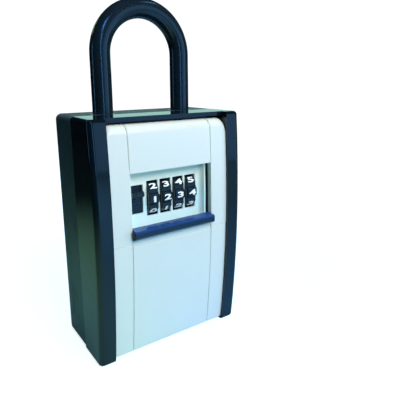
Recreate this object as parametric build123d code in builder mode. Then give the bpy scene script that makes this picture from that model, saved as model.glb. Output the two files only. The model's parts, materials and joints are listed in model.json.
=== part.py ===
"""Portable key lock box: a key compartment with a bow shackle and a drop-down combination door.

Frame: millimetres, +Z up, the front looks along -Y. The origin is the middle of the box's footprint,
on the surface that it stands on. The rear case carries the shackle and the keys. The door half is
hinged along the bottom edge and carries the lock, the four dials and the sliding dial cover.
"""
from build123d import *
from math import sqrt
import os

os.makedirs("parts", exist_ok=True)

# ---- driving dimensions ------------------------------------------------------------------------
WIDTH = 83.0
HEIGHT = 120.0
BACK_Y = 25.75
PARTING_Y = -0.25
PARTING_GAP = 0.25
WALL = 2.2
CASE_HALF_WIDTH = WIDTH / 2 - 0.3
CASE_EDGE_R = 2.8
CASE_BACK_R = 4.6
RIM_R = 0.4
RAIL_SIDE_R = 2.6
FRAME_END_R = 1.9
CLEAR = 40.0

# the front face is one large arc about an axis along X, so that the dial cover can slide in it
FACE_RADIUS = 570.0
FACE_PEAK_Y = -22.3
FACE_CENTRE_Y = FACE_PEAK_Y + FACE_RADIUS
FACE_CENTRE_Z = 70.0
RAIL_PROUD = 1.3
PANEL_SKIN = 3.0
COVER_SKIN = 1.6

PANEL_HALF_WIDTH = 33.1
PANEL_BOTTOM_Z = 1.9
PANEL_TOP_Z = 116.7
PANEL_TOP_R = 5.0
PANEL_SPLIT_Z = 60.4
PANEL_GAP = 0.15
WINDOW_HALF_WIDTH = 23.1
WINDOW_TOP_Z = 94.5
TOP_BAR_FRONT_Y = -17.6
TOP_BAR_Z = 117.9

# hinge along the bottom edge
HINGE_Z = 1.3
HINGE_PIN_R = 0.65
KNUCKLE_R = 1.3
KNUCKLE_SWEEP = 1.98
KNUCKLE_ENDS = (-32.0, -20.0, -6.0, 6.0, 20.0, 32.0)

# shackle
SHACKLE_R = 5.0
SHACKLE_X = 22.5
SHACKLE_Y = 6.45
SHACKLE_ARCH_Z = 148.6
LONG_LEG_Z = 68.0
SHORT_LEG_Z = 100.0
LEG_CLEARANCE = 0.06
LOCK_Z = 106.0

# dials
DIAL_X = [2.3 + 7.38 * step for step in (-1.5, -0.5, 0.5, 1.5)]
DIAL_Y = -8.6
DIAL_Z = 79.7
DIAL_R = 10.8
DIAL_WIDTH = 5.6
SPINDLE_R = 1.5
FLOOR_Y = -16.4
FLOOR_THICKNESS = 1.2

# release button and latch
BUTTON_X = -17.25
BUTTON_SLOT = (6.7, 14.3)
BUTTON_SLOT_Z = 80.15
LATCH_PLATE = (-12.9, -11.4)
TONGUE_X = 12.0
TONGUE_Z = (101.4, 103.0)
HOOK_Y = (2.6, 4.0)
HOOK_TOP_Z = 105.7
KEEPER_LOW_Z = 106.1
KEEPER_SCREW_X = (-5.0, 5.0)
KEEPER_SCREW_Y = 4.9

# key hook
HOOK_Z = 90.0
HOOK_RIVET_X = (-5.2, 5.2)
RIVET_R = 1.0

COVER_POSTS = [(-34.5, 12.0), (34.5, 12.0), (-34.5, 103.0), (34.5, 103.0)]
CHASSIS_POSTS = [(-29.0, 66.5), (29.0, 66.5), (-29.0, 94.0), (29.0, 94.0)]


def face_y(z, inset=0.0):
    """The depth of the curved front face at a height, moved inwards by an inset."""
    return FACE_CENTRE_Y - sqrt((FACE_RADIUS - inset) ** 2 - (z - FACE_CENTRE_Z) ** 2)


def face_band(low, high, front, back):
    """A strip of the curved face between two heights and two insets, for a sketch on the YZ plane."""
    middle = (low + high) / 2
    with BuildSketch(mode=Mode.PRIVATE) as band:
        with BuildLine():
            ThreePointArc(
                (face_y(low, front), low), (face_y(middle, front), middle), (face_y(high, front), high)
            )
            Line((face_y(high, front), high), (face_y(high, back), high))
            ThreePointArc((face_y(high, back), high), (face_y(middle, back), middle), (face_y(low, back), low))
            Line((face_y(low, back), low), (face_y(low, front), low))
        make_face()
    return band.sketch_local


def finish(part, label):
    """Name a finished piece and write its file."""
    part.label = label
    export_step(part, f"parts/{label}.step")


def screw_group(label, places, axis, length, radius=1.25, head_r=2.4, head_h=1.5):
    """Cross-recess screws as one group: axis points from the head to the tip."""
    with BuildPart() as screws:
        for place in places:
            seat = Plane(origin=place, z_dir=axis)
            with BuildSketch(seat):
                Circle(radius)
            extrude(amount=length)
            with BuildSketch(seat):
                Circle(head_r)
            extrude(amount=-head_h)
            top = Plane(origin=place, z_dir=axis).offset(-head_h)
            with BuildSketch(top):
                Rectangle(head_r * 1.2, 0.6)
                Rectangle(0.6, head_r * 1.2)
            extrude(amount=0.8, mode=Mode.SUBTRACT)
    finish(screws.part, label)


# ---- rear case ---------------------------------------------------------------------------------
case_depth = BACK_Y - PARTING_Y
with BuildPart() as rear_shell:
    with BuildSketch(Plane.XZ.offset(-BACK_Y)):
        with Locations((0, HEIGHT / 2)):
            Rectangle(2 * CASE_HALF_WIDTH, HEIGHT)
    extrude(amount=case_depth)
    fillet(rear_shell.edges().filter_by(Axis.Y), CASE_EDGE_R)
    fillet(rear_shell.faces().sort_by(Axis.Y)[-1].edges(), CASE_BACK_R)
    fillet(rear_shell.faces().sort_by(Axis.Y)[0].edges(), RIM_R)
    with BuildSketch(Plane.XZ.offset(-(BACK_Y - WALL))):
        with Locations((0, HEIGHT / 2)):
            RectangleRounded(2 * (CASE_HALF_WIDTH - WALL), HEIGHT - 2 * WALL, 1.6)
    extrude(amount=case_depth, mode=Mode.SUBTRACT)
    # holes for the two bushes in the top wall
    with BuildSketch(Plane.XY.offset(HEIGHT - 2 * WALL)):
        with Locations((-SHACKLE_X, SHACKLE_Y), (SHACKLE_X, SHACKLE_Y)):
            Circle(SHACKLE_R + 1.3)
    extrude(amount=4 * WALL, mode=Mode.SUBTRACT)
    # blind holes for the hook's rivets, the keeper's screws and the block's screws
    with BuildSketch(Plane.XZ.offset(-(BACK_Y - WALL - 1.0))):
        with Locations([(x, HOOK_Z) for x in HOOK_RIVET_X]):
            Circle(RIVET_R)
    extrude(amount=-2.0, mode=Mode.SUBTRACT)
    with BuildSketch(Plane.XY.offset(HEIGHT - WALL - 1.0)):
        with Locations([(x, KEEPER_SCREW_Y) for x in KEEPER_SCREW_X]):
            Circle(RIVET_R)
    extrude(amount=2.6, mode=Mode.SUBTRACT)
    # relief that lets the door's lower edge turn on the hinge
    with BuildSketch(Plane.YZ):
        with Locations((PARTING_Y, HINGE_Z)):
            Circle(KNUCKLE_SWEEP)
    extrude(amount=WIDTH, both=True, mode=Mode.SUBTRACT)
finish(rear_shell.part, "rear_shell")

# ---- case knuckles and hinge pin -----------------------------------------------------------------
# the two outer pairs of knuckles belong to the case and the middle ones to the door
case_knuckle_spans = [(KNUCKLE_ENDS[0], KNUCKLE_ENDS[1]), (KNUCKLE_ENDS[4], KNUCKLE_ENDS[5])]
door_knuckle_spans = [(KNUCKLE_ENDS[1] + 0.3, KNUCKLE_ENDS[2]), (KNUCKLE_ENDS[3], KNUCKLE_ENDS[4] - 0.3)]


def hinge_leaf(label, spans, leaf_low_y, leaf_high_y, leaf_low_z, leaf_high_z):
    """A row of hinge knuckles joined to a flat leaf behind or in front of them."""
    with BuildPart() as leaf:
        for start, end in spans:
            with BuildSketch(Plane.YZ.offset(start)):
                with Locations((PARTING_Y, HINGE_Z)):
                    Circle(KNUCKLE_R)
                with Locations(((leaf_low_y + leaf_high_y) / 2, (leaf_low_z + leaf_high_z) / 2)):
                    Rectangle(leaf_high_y - leaf_low_y, leaf_high_z - leaf_low_z)
                with Locations((PARTING_Y, HINGE_Z)):
                    Circle(HINGE_PIN_R + 0.05, mode=Mode.SUBTRACT)
            extrude(amount=end - start)
    finish(leaf.part, label)


hinge_leaf("case_hinge_leaf", case_knuckle_spans, PARTING_Y + 0.2, PARTING_Y + 9.0, WALL, WALL + 0.8)
hinge_leaf("door_hinge_leaf", door_knuckle_spans, PARTING_Y - 9.0, PARTING_Y - 0.2, WALL, WALL + 0.8)

with BuildPart() as hinge_pin:
    with BuildSketch(Plane.YZ.offset(KNUCKLE_ENDS[0] - 0.8)):
        with Locations((PARTING_Y, HINGE_Z)):
            Circle(HINGE_PIN_R)
    extrude(amount=KNUCKLE_ENDS[5] - KNUCKLE_ENDS[0] + 1.6)
finish(hinge_pin.part, "hinge_pin")

# ---- compartment tray and key hook ---------------------------------------------------------------
TRAY_FRONT_Y = 11.0
tray_wall = 1.0
tray_half = CASE_HALF_WIDTH - WALL - 0.1
tray_low = WALL + 0.1
tray_high = 66.0
tray_rear = BACK_Y - WALL - 0.1
tray_rib = (1.4, 46.0)
with BuildPart() as compartment_tray:
    with BuildSketch(Plane.XZ.offset(-tray_rear)):
        with Locations((0, (tray_low + tray_high) / 2)):
            RectangleRounded(2 * tray_half, tray_high - tray_low, 1.5)
    extrude(amount=BACK_Y - WALL - TRAY_FRONT_Y)
    with BuildSketch(Plane.XZ.offset(-(tray_rear - tray_wall))):
        with Locations((0, (tray_low + tray_high) / 2)):
            RectangleRounded(2 * (tray_half - tray_wall), tray_high - tray_low - 2 * tray_wall, 1.2)
    extrude(amount=BACK_Y, mode=Mode.SUBTRACT)
    # low ribs keep keys off the back wall
    with BuildSketch(Plane.XZ.offset(-(tray_rear - tray_wall))):
        with Locations((0, (tray_low + tray_high) / 2)):
            with GridLocations(12.0, 1.0, 5, 1):
                Rectangle(*tray_rib)
    extrude(amount=0.8)
finish(compartment_tray.part, "compartment_tray")

hook_wire_r = 1.1
hook_front_y = 13.0
hook_rise = 6.5
hook_bend_r = 2.6
hook_plate = 1.2
with BuildPart() as key_hook:
    with BuildLine() as hook_path:
        FilletPolyline(
            (0, BACK_Y - WALL - hook_plate / 2, HOOK_Z), (0, hook_front_y, HOOK_Z),
            (0, hook_front_y, HOOK_Z + hook_rise), radius=hook_bend_r,
        )
    with BuildSketch(Plane(origin=hook_path.line @ 0, z_dir=hook_path.line % 0)):
        Circle(hook_wire_r)
    sweep()
    with BuildSketch(Plane.XZ.offset(-(BACK_Y - WALL))):
        with Locations((0, HOOK_Z)):
            SlotOverall(16.0, 7.0)
    extrude(amount=hook_plate)
    with BuildSketch(Plane.XZ.offset(-(BACK_Y - WALL + 1.0))):
        with Locations([(x, HOOK_Z) for x in HOOK_RIVET_X]):
            Circle(RIVET_R)
    extrude(amount=5.0, mode=Mode.SUBTRACT)
finish(key_hook.part, "key_hook")
screw_group("hook_rivets", [(x, BACK_Y - WALL - hook_plate, HOOK_Z) for x in HOOK_RIVET_X],
            (0, 1, 0), 2.0, radius=RIVET_R, head_r=1.9, head_h=0.8)

# ---- shackle, its block, bushes and lock bolt ----------------------------------------------------
BLOCK_LOW_Z = 100.0
BLOCK_SCREWS = [(-12.0, 10.9), (12.0, 10.9)]
SHACKLE_HOLES = [(-SHACKLE_X, SHACKLE_Y), (SHACKLE_X, SHACKLE_Y)]
BLOCK_HIGH_Z = 112.6
boss_high_z = HEIGHT - WALL - 0.1
boss_r = SHACKLE_R + 1.8
bolt_side = 4.0
bolt_y = SHACKLE_Y + 1.0
bolt_tail_x = -8.0
channel_tail_x = -14.0
tab_stem = 6.5
with BuildPart() as shackle_block:
    with BuildSketch(Plane.XY.offset(BLOCK_LOW_Z)):
        with Locations((0, 9.0)):
            Rectangle(2 * SHACKLE_X, 8.8)
    extrude(amount=BLOCK_HIGH_Z - BLOCK_LOW_Z)
    with BuildSketch(Plane.XY.offset(BLOCK_LOW_Z)):
        with Locations(SHACKLE_HOLES):
            Circle(boss_r)
    extrude(amount=boss_high_z - BLOCK_LOW_Z)
    with BuildSketch(Plane.XY.offset(BLOCK_LOW_Z - 1)):
        with Locations(SHACKLE_HOLES):
            Circle(SHACKLE_R + LEG_CLEARANCE)
    extrude(amount=HEIGHT, mode=Mode.SUBTRACT)
    # channel of the lock bolt and the slot for its thumb tab
    with BuildSketch(Plane.YZ.offset(channel_tail_x)):
        with Locations((bolt_y, LOCK_Z)):
            Rectangle(bolt_side + 0.3, bolt_side + 0.3)
    extrude(amount=SHACKLE_X - channel_tail_x, mode=Mode.SUBTRACT)
    with BuildSketch(Plane.XY.offset(BLOCK_LOW_Z - 1)):
        with Locations((0.8, bolt_y)):
            Rectangle(9.2, 3.3)
    extrude(amount=LOCK_Z - BLOCK_LOW_Z, mode=Mode.SUBTRACT)
    with BuildSketch(Plane.XY.offset(BLOCK_LOW_Z - 1)):
        with Locations(BLOCK_SCREWS):
            Circle(1.6)
    extrude(amount=BLOCK_HIGH_Z, mode=Mode.SUBTRACT)
finish(shackle_block.part, "shackle_block")

with BuildPart() as top_bosses:
    with BuildSketch(Plane.XY.offset(BLOCK_HIGH_Z)):
        with Locations(BLOCK_SCREWS):
            Circle(3.0)
            Circle(1.25, mode=Mode.SUBTRACT)
    extrude(amount=HEIGHT - WALL - BLOCK_HIGH_Z)
finish(top_bosses.part, "block_standoffs")
screw_group("block_screws", [(x, y, BLOCK_LOW_Z) for x, y in BLOCK_SCREWS], (0, 0, 1), 17.0)

with BuildPart() as bushes:
    with BuildSketch(Plane.XY.offset(HEIGHT - WALL)):
        with Locations(SHACKLE_HOLES):
            Circle(SHACKLE_R + 1.25)
            Circle(SHACKLE_R + LEG_CLEARANCE, mode=Mode.SUBTRACT)
    extrude(amount=WALL)
finish(bushes.part, "shackle_bushes")

clip_z = LONG_LEG_Z + 6.0
clip_thickness = 1.0
clip_depth = 1.0
notch_height = 5.2
with BuildPart() as shackle:
    with BuildLine() as bow_path:
        Line((-SHACKLE_X, SHACKLE_Y, LONG_LEG_Z), (-SHACKLE_X, SHACKLE_Y, SHACKLE_ARCH_Z))
        ThreePointArc(
            (-SHACKLE_X, SHACKLE_Y, SHACKLE_ARCH_Z),
            (0, SHACKLE_Y, SHACKLE_ARCH_Z + SHACKLE_X),
            (SHACKLE_X, SHACKLE_Y, SHACKLE_ARCH_Z),
        )
        Line((SHACKLE_X, SHACKLE_Y, SHACKLE_ARCH_Z), (SHACKLE_X, SHACKLE_Y, SHORT_LEG_Z))
    with BuildSketch(Plane.XY.offset(LONG_LEG_Z)):
        with Locations((-SHACKLE_X, SHACKLE_Y)):
            Circle(SHACKLE_R)
    sweep()
    chamfer(shackle.faces().filter_by(Plane.XY).edges(), 0.8)
    # notch for the lock bolt in the short leg
    with BuildSketch(Plane.XY.offset(LOCK_Z - notch_height / 2)):
        with Locations((SHACKLE_X - SHACKLE_R, SHACKLE_Y)):
            Rectangle(7.6, 12.0)
    extrude(amount=notch_height, mode=Mode.SUBTRACT)
    # groove for the retaining clip in the long leg
    with BuildSketch(Plane.XY.offset(clip_z)):
        with Locations((-SHACKLE_X, SHACKLE_Y)):
            Circle(SHACKLE_R + 1)
            Circle(SHACKLE_R - clip_depth, mode=Mode.SUBTRACT)
    extrude(amount=clip_thickness + 0.2, mode=Mode.SUBTRACT)
finish(shackle.part, "shackle")

with BuildPart() as shackle_clip:
    with BuildSketch(Plane.XY.offset(clip_z + 0.1)):
        with Locations((-SHACKLE_X, SHACKLE_Y)):
            Circle(SHACKLE_R + 1.4)
            Circle(SHACKLE_R - clip_depth + 0.05, mode=Mode.SUBTRACT)
        with Locations((-SHACKLE_X - SHACKLE_R - 1, SHACKLE_Y)):
            Rectangle(SHACKLE_R + 1, 5.0, mode=Mode.SUBTRACT)
    extrude(amount=clip_thickness)
finish(shackle_clip.part, "shackle_clip")

bolt_reach_x = SHACKLE_X - SHACKLE_R - 0.35
with BuildPart() as shackle_bolt:
    with BuildSketch(Plane.YZ.offset(bolt_tail_x)):
        with Locations((bolt_y, LOCK_Z)):
            Rectangle(bolt_side, bolt_side)
    extrude(amount=bolt_reach_x - bolt_tail_x)
    chamfer(shackle_bolt.faces().sort_by(Axis.X)[-1].edges(), 0.6)
finish(shackle_bolt.part, "shackle_bolt")

with BuildPart() as bolt_tab:
    with BuildSketch(Plane.XY.offset(LOCK_Z - bolt_side / 2)):
        with Locations((0, bolt_y)):
            RectangleRounded(3.4, 2.8, 0.5)
    extrude(amount=-tab_stem)
    with BuildSketch(Plane.XY.offset(LOCK_Z - bolt_side / 2 - tab_stem)):
        with Locations((0, bolt_y)):
            RectangleRounded(8.0, 5.0, 1.0)
    extrude(amount=-1.6)
finish(bolt_tab.part, "bolt_tab")

# ---- latch keeper --------------------------------------------------------------------------------
keeper_half = 14.6
keeper_top = HEIGHT - WALL
keeper_plate = 1.4
keeper_lip_y = (0.6, 2.2)
keeper_foot_y = 7.0
with BuildPart() as latch_keeper:
    with BuildSketch(Plane.YZ.offset(-keeper_half)):
        with BuildLine():
            Polyline(
                (keeper_lip_y[0], KEEPER_LOW_Z), (keeper_lip_y[1], KEEPER_LOW_Z),
                (keeper_lip_y[1], keeper_top - keeper_plate), (keeper_foot_y, keeper_top - keeper_plate),
                (keeper_foot_y, keeper_top), (keeper_lip_y[0], keeper_top), close=True,
            )
        make_face()
    extrude(amount=2 * keeper_half)
    fillet(latch_keeper.edges().filter_by(Axis.X).group_by(Axis.Z)[0], 0.5)
    with BuildSketch(Plane.XY.offset(keeper_top - 3.0)):
        with Locations([(x, KEEPER_SCREW_Y) for x in KEEPER_SCREW_X]):
            Circle(RIVET_R)
    extrude(amount=5.0, mode=Mode.SUBTRACT)
finish(latch_keeper.part, "latch_keeper")
screw_group("keeper_screws", [(x, KEEPER_SCREW_Y, keeper_top - keeper_plate) for x in KEEPER_SCREW_X],
            (0, 0, 1), 2.9, radius=RIVET_R, head_r=1.7, head_h=0.8)

# ---- door: glossy surround with the plate that the panels sit on ----------------------------------
door_back_y = PARTING_Y - PARTING_GAP
opening_half = PANEL_HALF_WIDTH + PANEL_GAP
frame_inner_half = WIDTH / 2 - WALL
base_thickness = 1.6
base_rear = PANEL_SKIN + base_thickness
cavity_back_y = 5.0
window_opening = (44.4, 32.0)
guide_slot = (1.5, 54.0)
GUIDE_X = 22.35
post_back_y = 1.75
bottom_wall_z = (WALL + 0.8, WALL + 2.8)
step_z = 107.0
step_y = -12.2
with BuildPart() as front_frame:
    # whole outline of the door half, seen from the side
    with BuildSketch(Plane.YZ):
        with BuildLine():
            Line((door_back_y, 0), (face_y(0, -RAIL_PROUD), 0))
            ThreePointArc(
                (face_y(0, -RAIL_PROUD), 0),
                (face_y(HEIGHT / 2, -RAIL_PROUD), HEIGHT / 2),
                (face_y(HEIGHT, -RAIL_PROUD), HEIGHT),
            )
            Polyline((face_y(HEIGHT, -RAIL_PROUD), HEIGHT), (door_back_y, HEIGHT), (door_back_y, 0))
        make_face()
    extrude(amount=WIDTH / 2, both=True)
    rail_edges = front_frame.faces().sort_by(Axis.Y)[0].edges().sort_by(Axis.X)
    fillet([rail_edges[0], rail_edges[-1]], RAIL_SIDE_R)
    for end in (0, -1):
        fillet(front_frame.faces().sort_by(Axis.Z)[end].edges().sort_by(Axis.Y)[:-1], FRAME_END_R)
    # room for the silver panels, between the rails and down to the base plate
    with BuildSketch(Plane.YZ):
        add(face_band(-2.0, step_z, -20.0, PANEL_SKIN))
        with BuildLine():
            Polyline((-CLEAR, step_z), (step_y, step_z), (step_y, TOP_BAR_Z), (-CLEAR, TOP_BAR_Z), close=True)
        make_face()
        with BuildLine():
            Polyline((-CLEAR, TOP_BAR_Z), (TOP_BAR_FRONT_Y, TOP_BAR_Z), (TOP_BAR_FRONT_Y, HEIGHT + 1),
                     (-CLEAR, HEIGHT + 1), close=True)
        make_face()
    extrude(amount=opening_half, both=True, mode=Mode.SUBTRACT)
    # cavity for the lock, open at the back
    with BuildSketch(Plane.YZ):
        with BuildLine():
            lock_top = step_z - base_thickness
            Polyline((face_y(lock_top, base_rear), lock_top), (step_y + base_thickness, lock_top),
                     (step_y + base_thickness, HEIGHT - WALL), (cavity_back_y, HEIGHT - WALL),
                     (cavity_back_y, bottom_wall_z[1]), (face_y(bottom_wall_z[1], base_rear), bottom_wall_z[1]))
            ThreePointArc(
                (face_y(bottom_wall_z[1], base_rear), bottom_wall_z[1]),
                (face_y(HEIGHT / 2, base_rear), HEIGHT / 2),
                (face_y(lock_top, base_rear), lock_top),
            )
        make_face()
    extrude(amount=frame_inner_half, both=True, mode=Mode.SUBTRACT)
    # nothing below the bottom wall between the rails, where the hinge sits
    with BuildSketch(Plane.XY.offset(-1.0)):
        with Locations((0, -15.0)):
            Rectangle(2 * opening_half, CLEAR)
    extrude(amount=bottom_wall_z[0] + 1.0, mode=Mode.SUBTRACT)
    # opening behind the dial window, and the slots for the guides of the dial cover
    with BuildSketch(Plane.XZ.offset(CLEAR)):
        with Locations((-0.4, 79.9)):
            Rectangle(*window_opening)
        with Locations((-GUIDE_X, 34.0), (GUIDE_X, 34.0)):
            Rectangle(*guide_slot)
    extrude(amount=-CLEAR - step_y, mode=Mode.SUBTRACT)
    # posts for the inner cover and for the lock chassis
    for post_x, post_z in COVER_POSTS:
        with BuildSketch(Plane.XZ.offset(post_back_y)):
            with Locations((post_x, post_z)):
                Circle(2.8)
        extrude(amount=-post_back_y - face_y(post_z, base_rear - 0.5))
    with BuildSketch(Plane.XZ.offset(-FLOOR_Y - FLOOR_THICKNESS)):
        with Locations(CHASSIS_POSTS):
            Circle(2.6)
    extrude(amount=2.6)
    with BuildSketch(Plane.XZ.offset(1.0)):
        with Locations(COVER_POSTS):
            Circle(1.25)
    extrude(amount=11.0, mode=Mode.SUBTRACT)
    with BuildSketch(Plane.XZ.offset(10.0)):
        with Locations(CHASSIS_POSTS):
            Circle(1.05)
    extrude(amount=8.2, mode=Mode.SUBTRACT)
finish(front_frame.part, "front_frame")


# ---- door: silver panels -------------------------------------------------------------------------
def panel_section(low, front, back):
    """Section of the upper panel: the face arc, turned back along the rounded top edge."""
    front_top = PANEL_TOP_Z - front
    back_top = PANEL_TOP_Z - back
    middle = (low + PANEL_TOP_Z) / 2
    rear = step_y - 0.2
    with BuildSketch(mode=Mode.PRIVATE) as section:
        with BuildLine():
            ThreePointArc(
                (face_y(low, front), low), (face_y(middle, front), middle), (face_y(front_top, front), front_top)
            )
            Polyline((face_y(front_top, front), front_top), (rear, front_top), (rear, back_top),
                     (face_y(back_top, back), back_top))
            ThreePointArc(
                (face_y(back_top, back), back_top), (face_y(middle, back), middle), (face_y(low, back), low)
            )
            Line((face_y(low, back), low), (face_y(low, front), low))
        make_face()
        fillet(section.vertices().group_by(Axis.Y)[-1].sort_by(Axis.X)[0], PANEL_TOP_R - front)
        fillet(section.vertices().group_by(Axis.Y)[-2].sort_by(Axis.X)[0], PANEL_TOP_R - back)
    return section.sketch_local


PANEL_CORNER_R = 3.3
BLANK_LOW_Z = 50.0
GROOVE = 0.4
with BuildPart() as upper_panel:
    with BuildSketch(Plane.YZ):
        add(panel_section(PANEL_SPLIT_Z, 0.0, PANEL_SKIN))
    extrude(amount=PANEL_HALF_WIDTH, both=True)
    with BuildSketch(Plane.XZ.offset(CLEAR)):
        with BuildLine():
            FilletPolyline((-PANEL_HALF_WIDTH, BLANK_LOW_Z), (-PANEL_HALF_WIDTH, PANEL_TOP_Z),
                           (PANEL_HALF_WIDTH, PANEL_TOP_Z), (PANEL_HALF_WIDTH, BLANK_LOW_Z), radius=PANEL_CORNER_R)
            Line((PANEL_HALF_WIDTH, BLANK_LOW_Z), (-PANEL_HALF_WIDTH, BLANK_LOW_Z))
        make_face()
    extrude(amount=-CLEAR, mode=Mode.INTERSECT)
    with BuildSketch(Plane.XZ.offset(CLEAR)):
        with Locations((0, WINDOW_TOP_Z - 25.0)):
            Rectangle(2 * WINDOW_HALF_WIDTH, 50.0)
    extrude(amount=-CLEAR, mode=Mode.SUBTRACT)
    # fine grooves carry the lines of the window up to the top edge
    for side in (-1, 1):
        with BuildSketch(Plane.YZ.offset(side * WINDOW_HALF_WIDTH - GROOVE / 2)):
            add(panel_section(WINDOW_TOP_Z - 1.0, -0.5, GROOVE))
        extrude(amount=GROOVE, mode=Mode.SUBTRACT)
finish(upper_panel.part, "upper_panel")

strip_inner = WINDOW_HALF_WIDTH + 0.05
for side, label in ((-1, "lower_strip_left"), (1, "lower_strip_right")):
    with BuildPart() as lower_strip:
        with BuildSketch(Plane.YZ.offset(side * (PANEL_HALF_WIDTH + strip_inner) / 2)):
            add(face_band(PANEL_BOTTOM_Z, PANEL_SPLIT_Z - 0.15, 0.0, PANEL_SKIN))
        extrude(amount=(PANEL_HALF_WIDTH - strip_inner) / 2, both=True)
    finish(lower_strip.part, label)

# ---- door: window recess -------------------------------------------------------------------------
recess_left, recess_right = -21.4, 20.6
recess_low, recess_high = 65.2, WINDOW_TOP_Z
dial_slot = (6.2, 17.7)
with BuildPart() as recess_plate:
    with BuildSketch(Plane.XZ.offset(-FLOOR_Y - FLOOR_THICKNESS)):
        with Locations(((recess_left + recess_right) / 2, (recess_low + recess_high) / 2)):
            Rectangle(recess_right - recess_left + 2.0, recess_high - recess_low + 2.0)
    extrude(amount=10.0)
    with BuildSketch(Plane.XZ.offset(-FLOOR_Y)):
        with Locations(((recess_left + recess_right) / 2, (recess_low + recess_high) / 2)):
            Rectangle(recess_right - recess_left, recess_high - recess_low)
    extrude(amount=20.0, mode=Mode.SUBTRACT)
    floor_edges = recess_plate.edges().filter_by(Axis.Z).filter_by_position(Axis.Y, FLOOR_Y - 0.1, FLOOR_Y + 0.1)
    fillet(floor_edges.sort_by(Axis.X)[-1], 2.6)
    with BuildSketch(Plane.YZ):
        add(face_band(50.0, 110.0, -20.0, PANEL_SKIN))
    extrude(amount=WIDTH, both=True, mode=Mode.SUBTRACT)
    with BuildSketch(Plane.XZ.offset(25.0)):
        with Locations([(x, DIAL_Z) for x in DIAL_X]):
            Rectangle(*dial_slot)
        with Locations((BUTTON_X, BUTTON_SLOT_Z)):
            Rectangle(*BUTTON_SLOT)
    extrude(amount=-20.0, mode=Mode.SUBTRACT)
finish(recess_plate.part, "recess_plate")

# ---- dial cover ----------------------------------------------------------------------------------
cover_half = WINDOW_HALF_WIDTH - 0.15
cover_top = 62.4
with BuildPart() as cover_panel:
    with BuildSketch(Plane.YZ):
        add(face_band(PANEL_BOTTOM_Z, cover_top, 0.0, COVER_SKIN))
    extrude(amount=cover_half, both=True)
finish(cover_panel.part, "cover_panel")

ledge_front_y = -BACK_Y
ledge_shoulder_y = -24.9
ledge_root = 2.35
GRIP_HALF = 22.8
GRIP_END = 23.7
with BuildPart() as cover_ledge:
    with BuildSketch(Plane.YZ):
        with BuildLine():
            Polyline((face_y(cover_top, ledge_root), cover_top), (face_y(cover_top, ledge_root), 67.7),
                     (ledge_shoulder_y, 67.4), (ledge_front_y, 66.9), (ledge_front_y, 64.2),
                     (ledge_shoulder_y, 63.3),
                     (face_y(cover_top) - 0.3, cover_top), close=True)
        make_face()
    extrude(amount=cover_half - 0.15, both=True)
    with BuildSketch(Plane.XY.offset(cover_top + 1.2)):
        with BuildLine():
            Polyline((-GRIP_END, -22.6), (-GRIP_END, -23.4), (-GRIP_HALF, -25.3), (GRIP_HALF, -25.3),
                     (GRIP_END, -23.4), (GRIP_END, -22.6), close=True)
        make_face()
    extrude(amount=3.2)
finish(cover_ledge.part, "cover_ledge")

guide_low, guide_high = 8.0, 34.0
with BuildPart() as cover_slide:
    with BuildSketch(Plane.YZ):
        add(face_band(5.0, cover_top, COVER_SKIN, 2.4))
    extrude(amount=21.5, both=True)
    for side in (-1, 1):
        with BuildSketch(Plane.YZ.offset(side * GUIDE_X)):
            add(face_band(guide_low, guide_high, COVER_SKIN, 6.0))
        extrude(amount=0.5, both=True)
        with BuildSketch(Plane.YZ.offset(side * 21.6)):
            add(face_band(guide_low, guide_high, COVER_SKIN, 2.4))
            add(face_band(guide_low, guide_high, 5.0, 6.0))
        extrude(amount=1.2, both=True)
finish(cover_slide.part, "cover_slide")

# ---- dials ---------------------------------------------------------------------------------------
WHEEL_BORE_R = 6.0
SCALLOP_R = 2.2
CAM_COLLAR_R = 3.2
CAM_COLLAR = 0.2
for number, dial_x in enumerate(DIAL_X, start=1):
    with BuildPart() as dial_wheel:
        with BuildSketch(Plane.YZ.offset(dial_x - DIAL_WIDTH / 2)):
            with Locations((DIAL_Y, DIAL_Z)):
                Circle(DIAL_R)
                with PolarLocations(DIAL_R + 1.4, 10, start_angle=198.0):
                    Circle(SCALLOP_R, mode=Mode.SUBTRACT)
                Circle(WHEEL_BORE_R, mode=Mode.SUBTRACT)
        extrude(amount=DIAL_WIDTH)
        chamfer(dial_wheel.faces().filter_by(Axis.X).edges().filter_by(GeomType.CIRCLE).group_by(
            SortBy.RADIUS)[-1], 0.3)
    finish(dial_wheel.part, f"dial_wheel_{number}")
    with BuildPart() as code_cam:
        with BuildSketch(Plane.YZ.offset(dial_x - DIAL_WIDTH / 2)):
            with Locations((DIAL_Y, DIAL_Z)):
                Circle(WHEEL_BORE_R)
                Circle(SPINDLE_R + 0.05, mode=Mode.SUBTRACT)
            with Locations((DIAL_Y + 5.2, DIAL_Z)):
                Rectangle(3.0, 2.4, mode=Mode.SUBTRACT)
        extrude(amount=DIAL_WIDTH)
        with BuildSketch(Plane.YZ.offset(dial_x - DIAL_WIDTH / 2 - CAM_COLLAR)):
            with Locations((DIAL_Y, DIAL_Z)):
                Circle(CAM_COLLAR_R)
                Circle(SPINDLE_R + 0.05, mode=Mode.SUBTRACT)
        extrude(amount=DIAL_WIDTH + 2 * CAM_COLLAR)
    finish(code_cam.part, f"code_cam_{number}")

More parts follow.
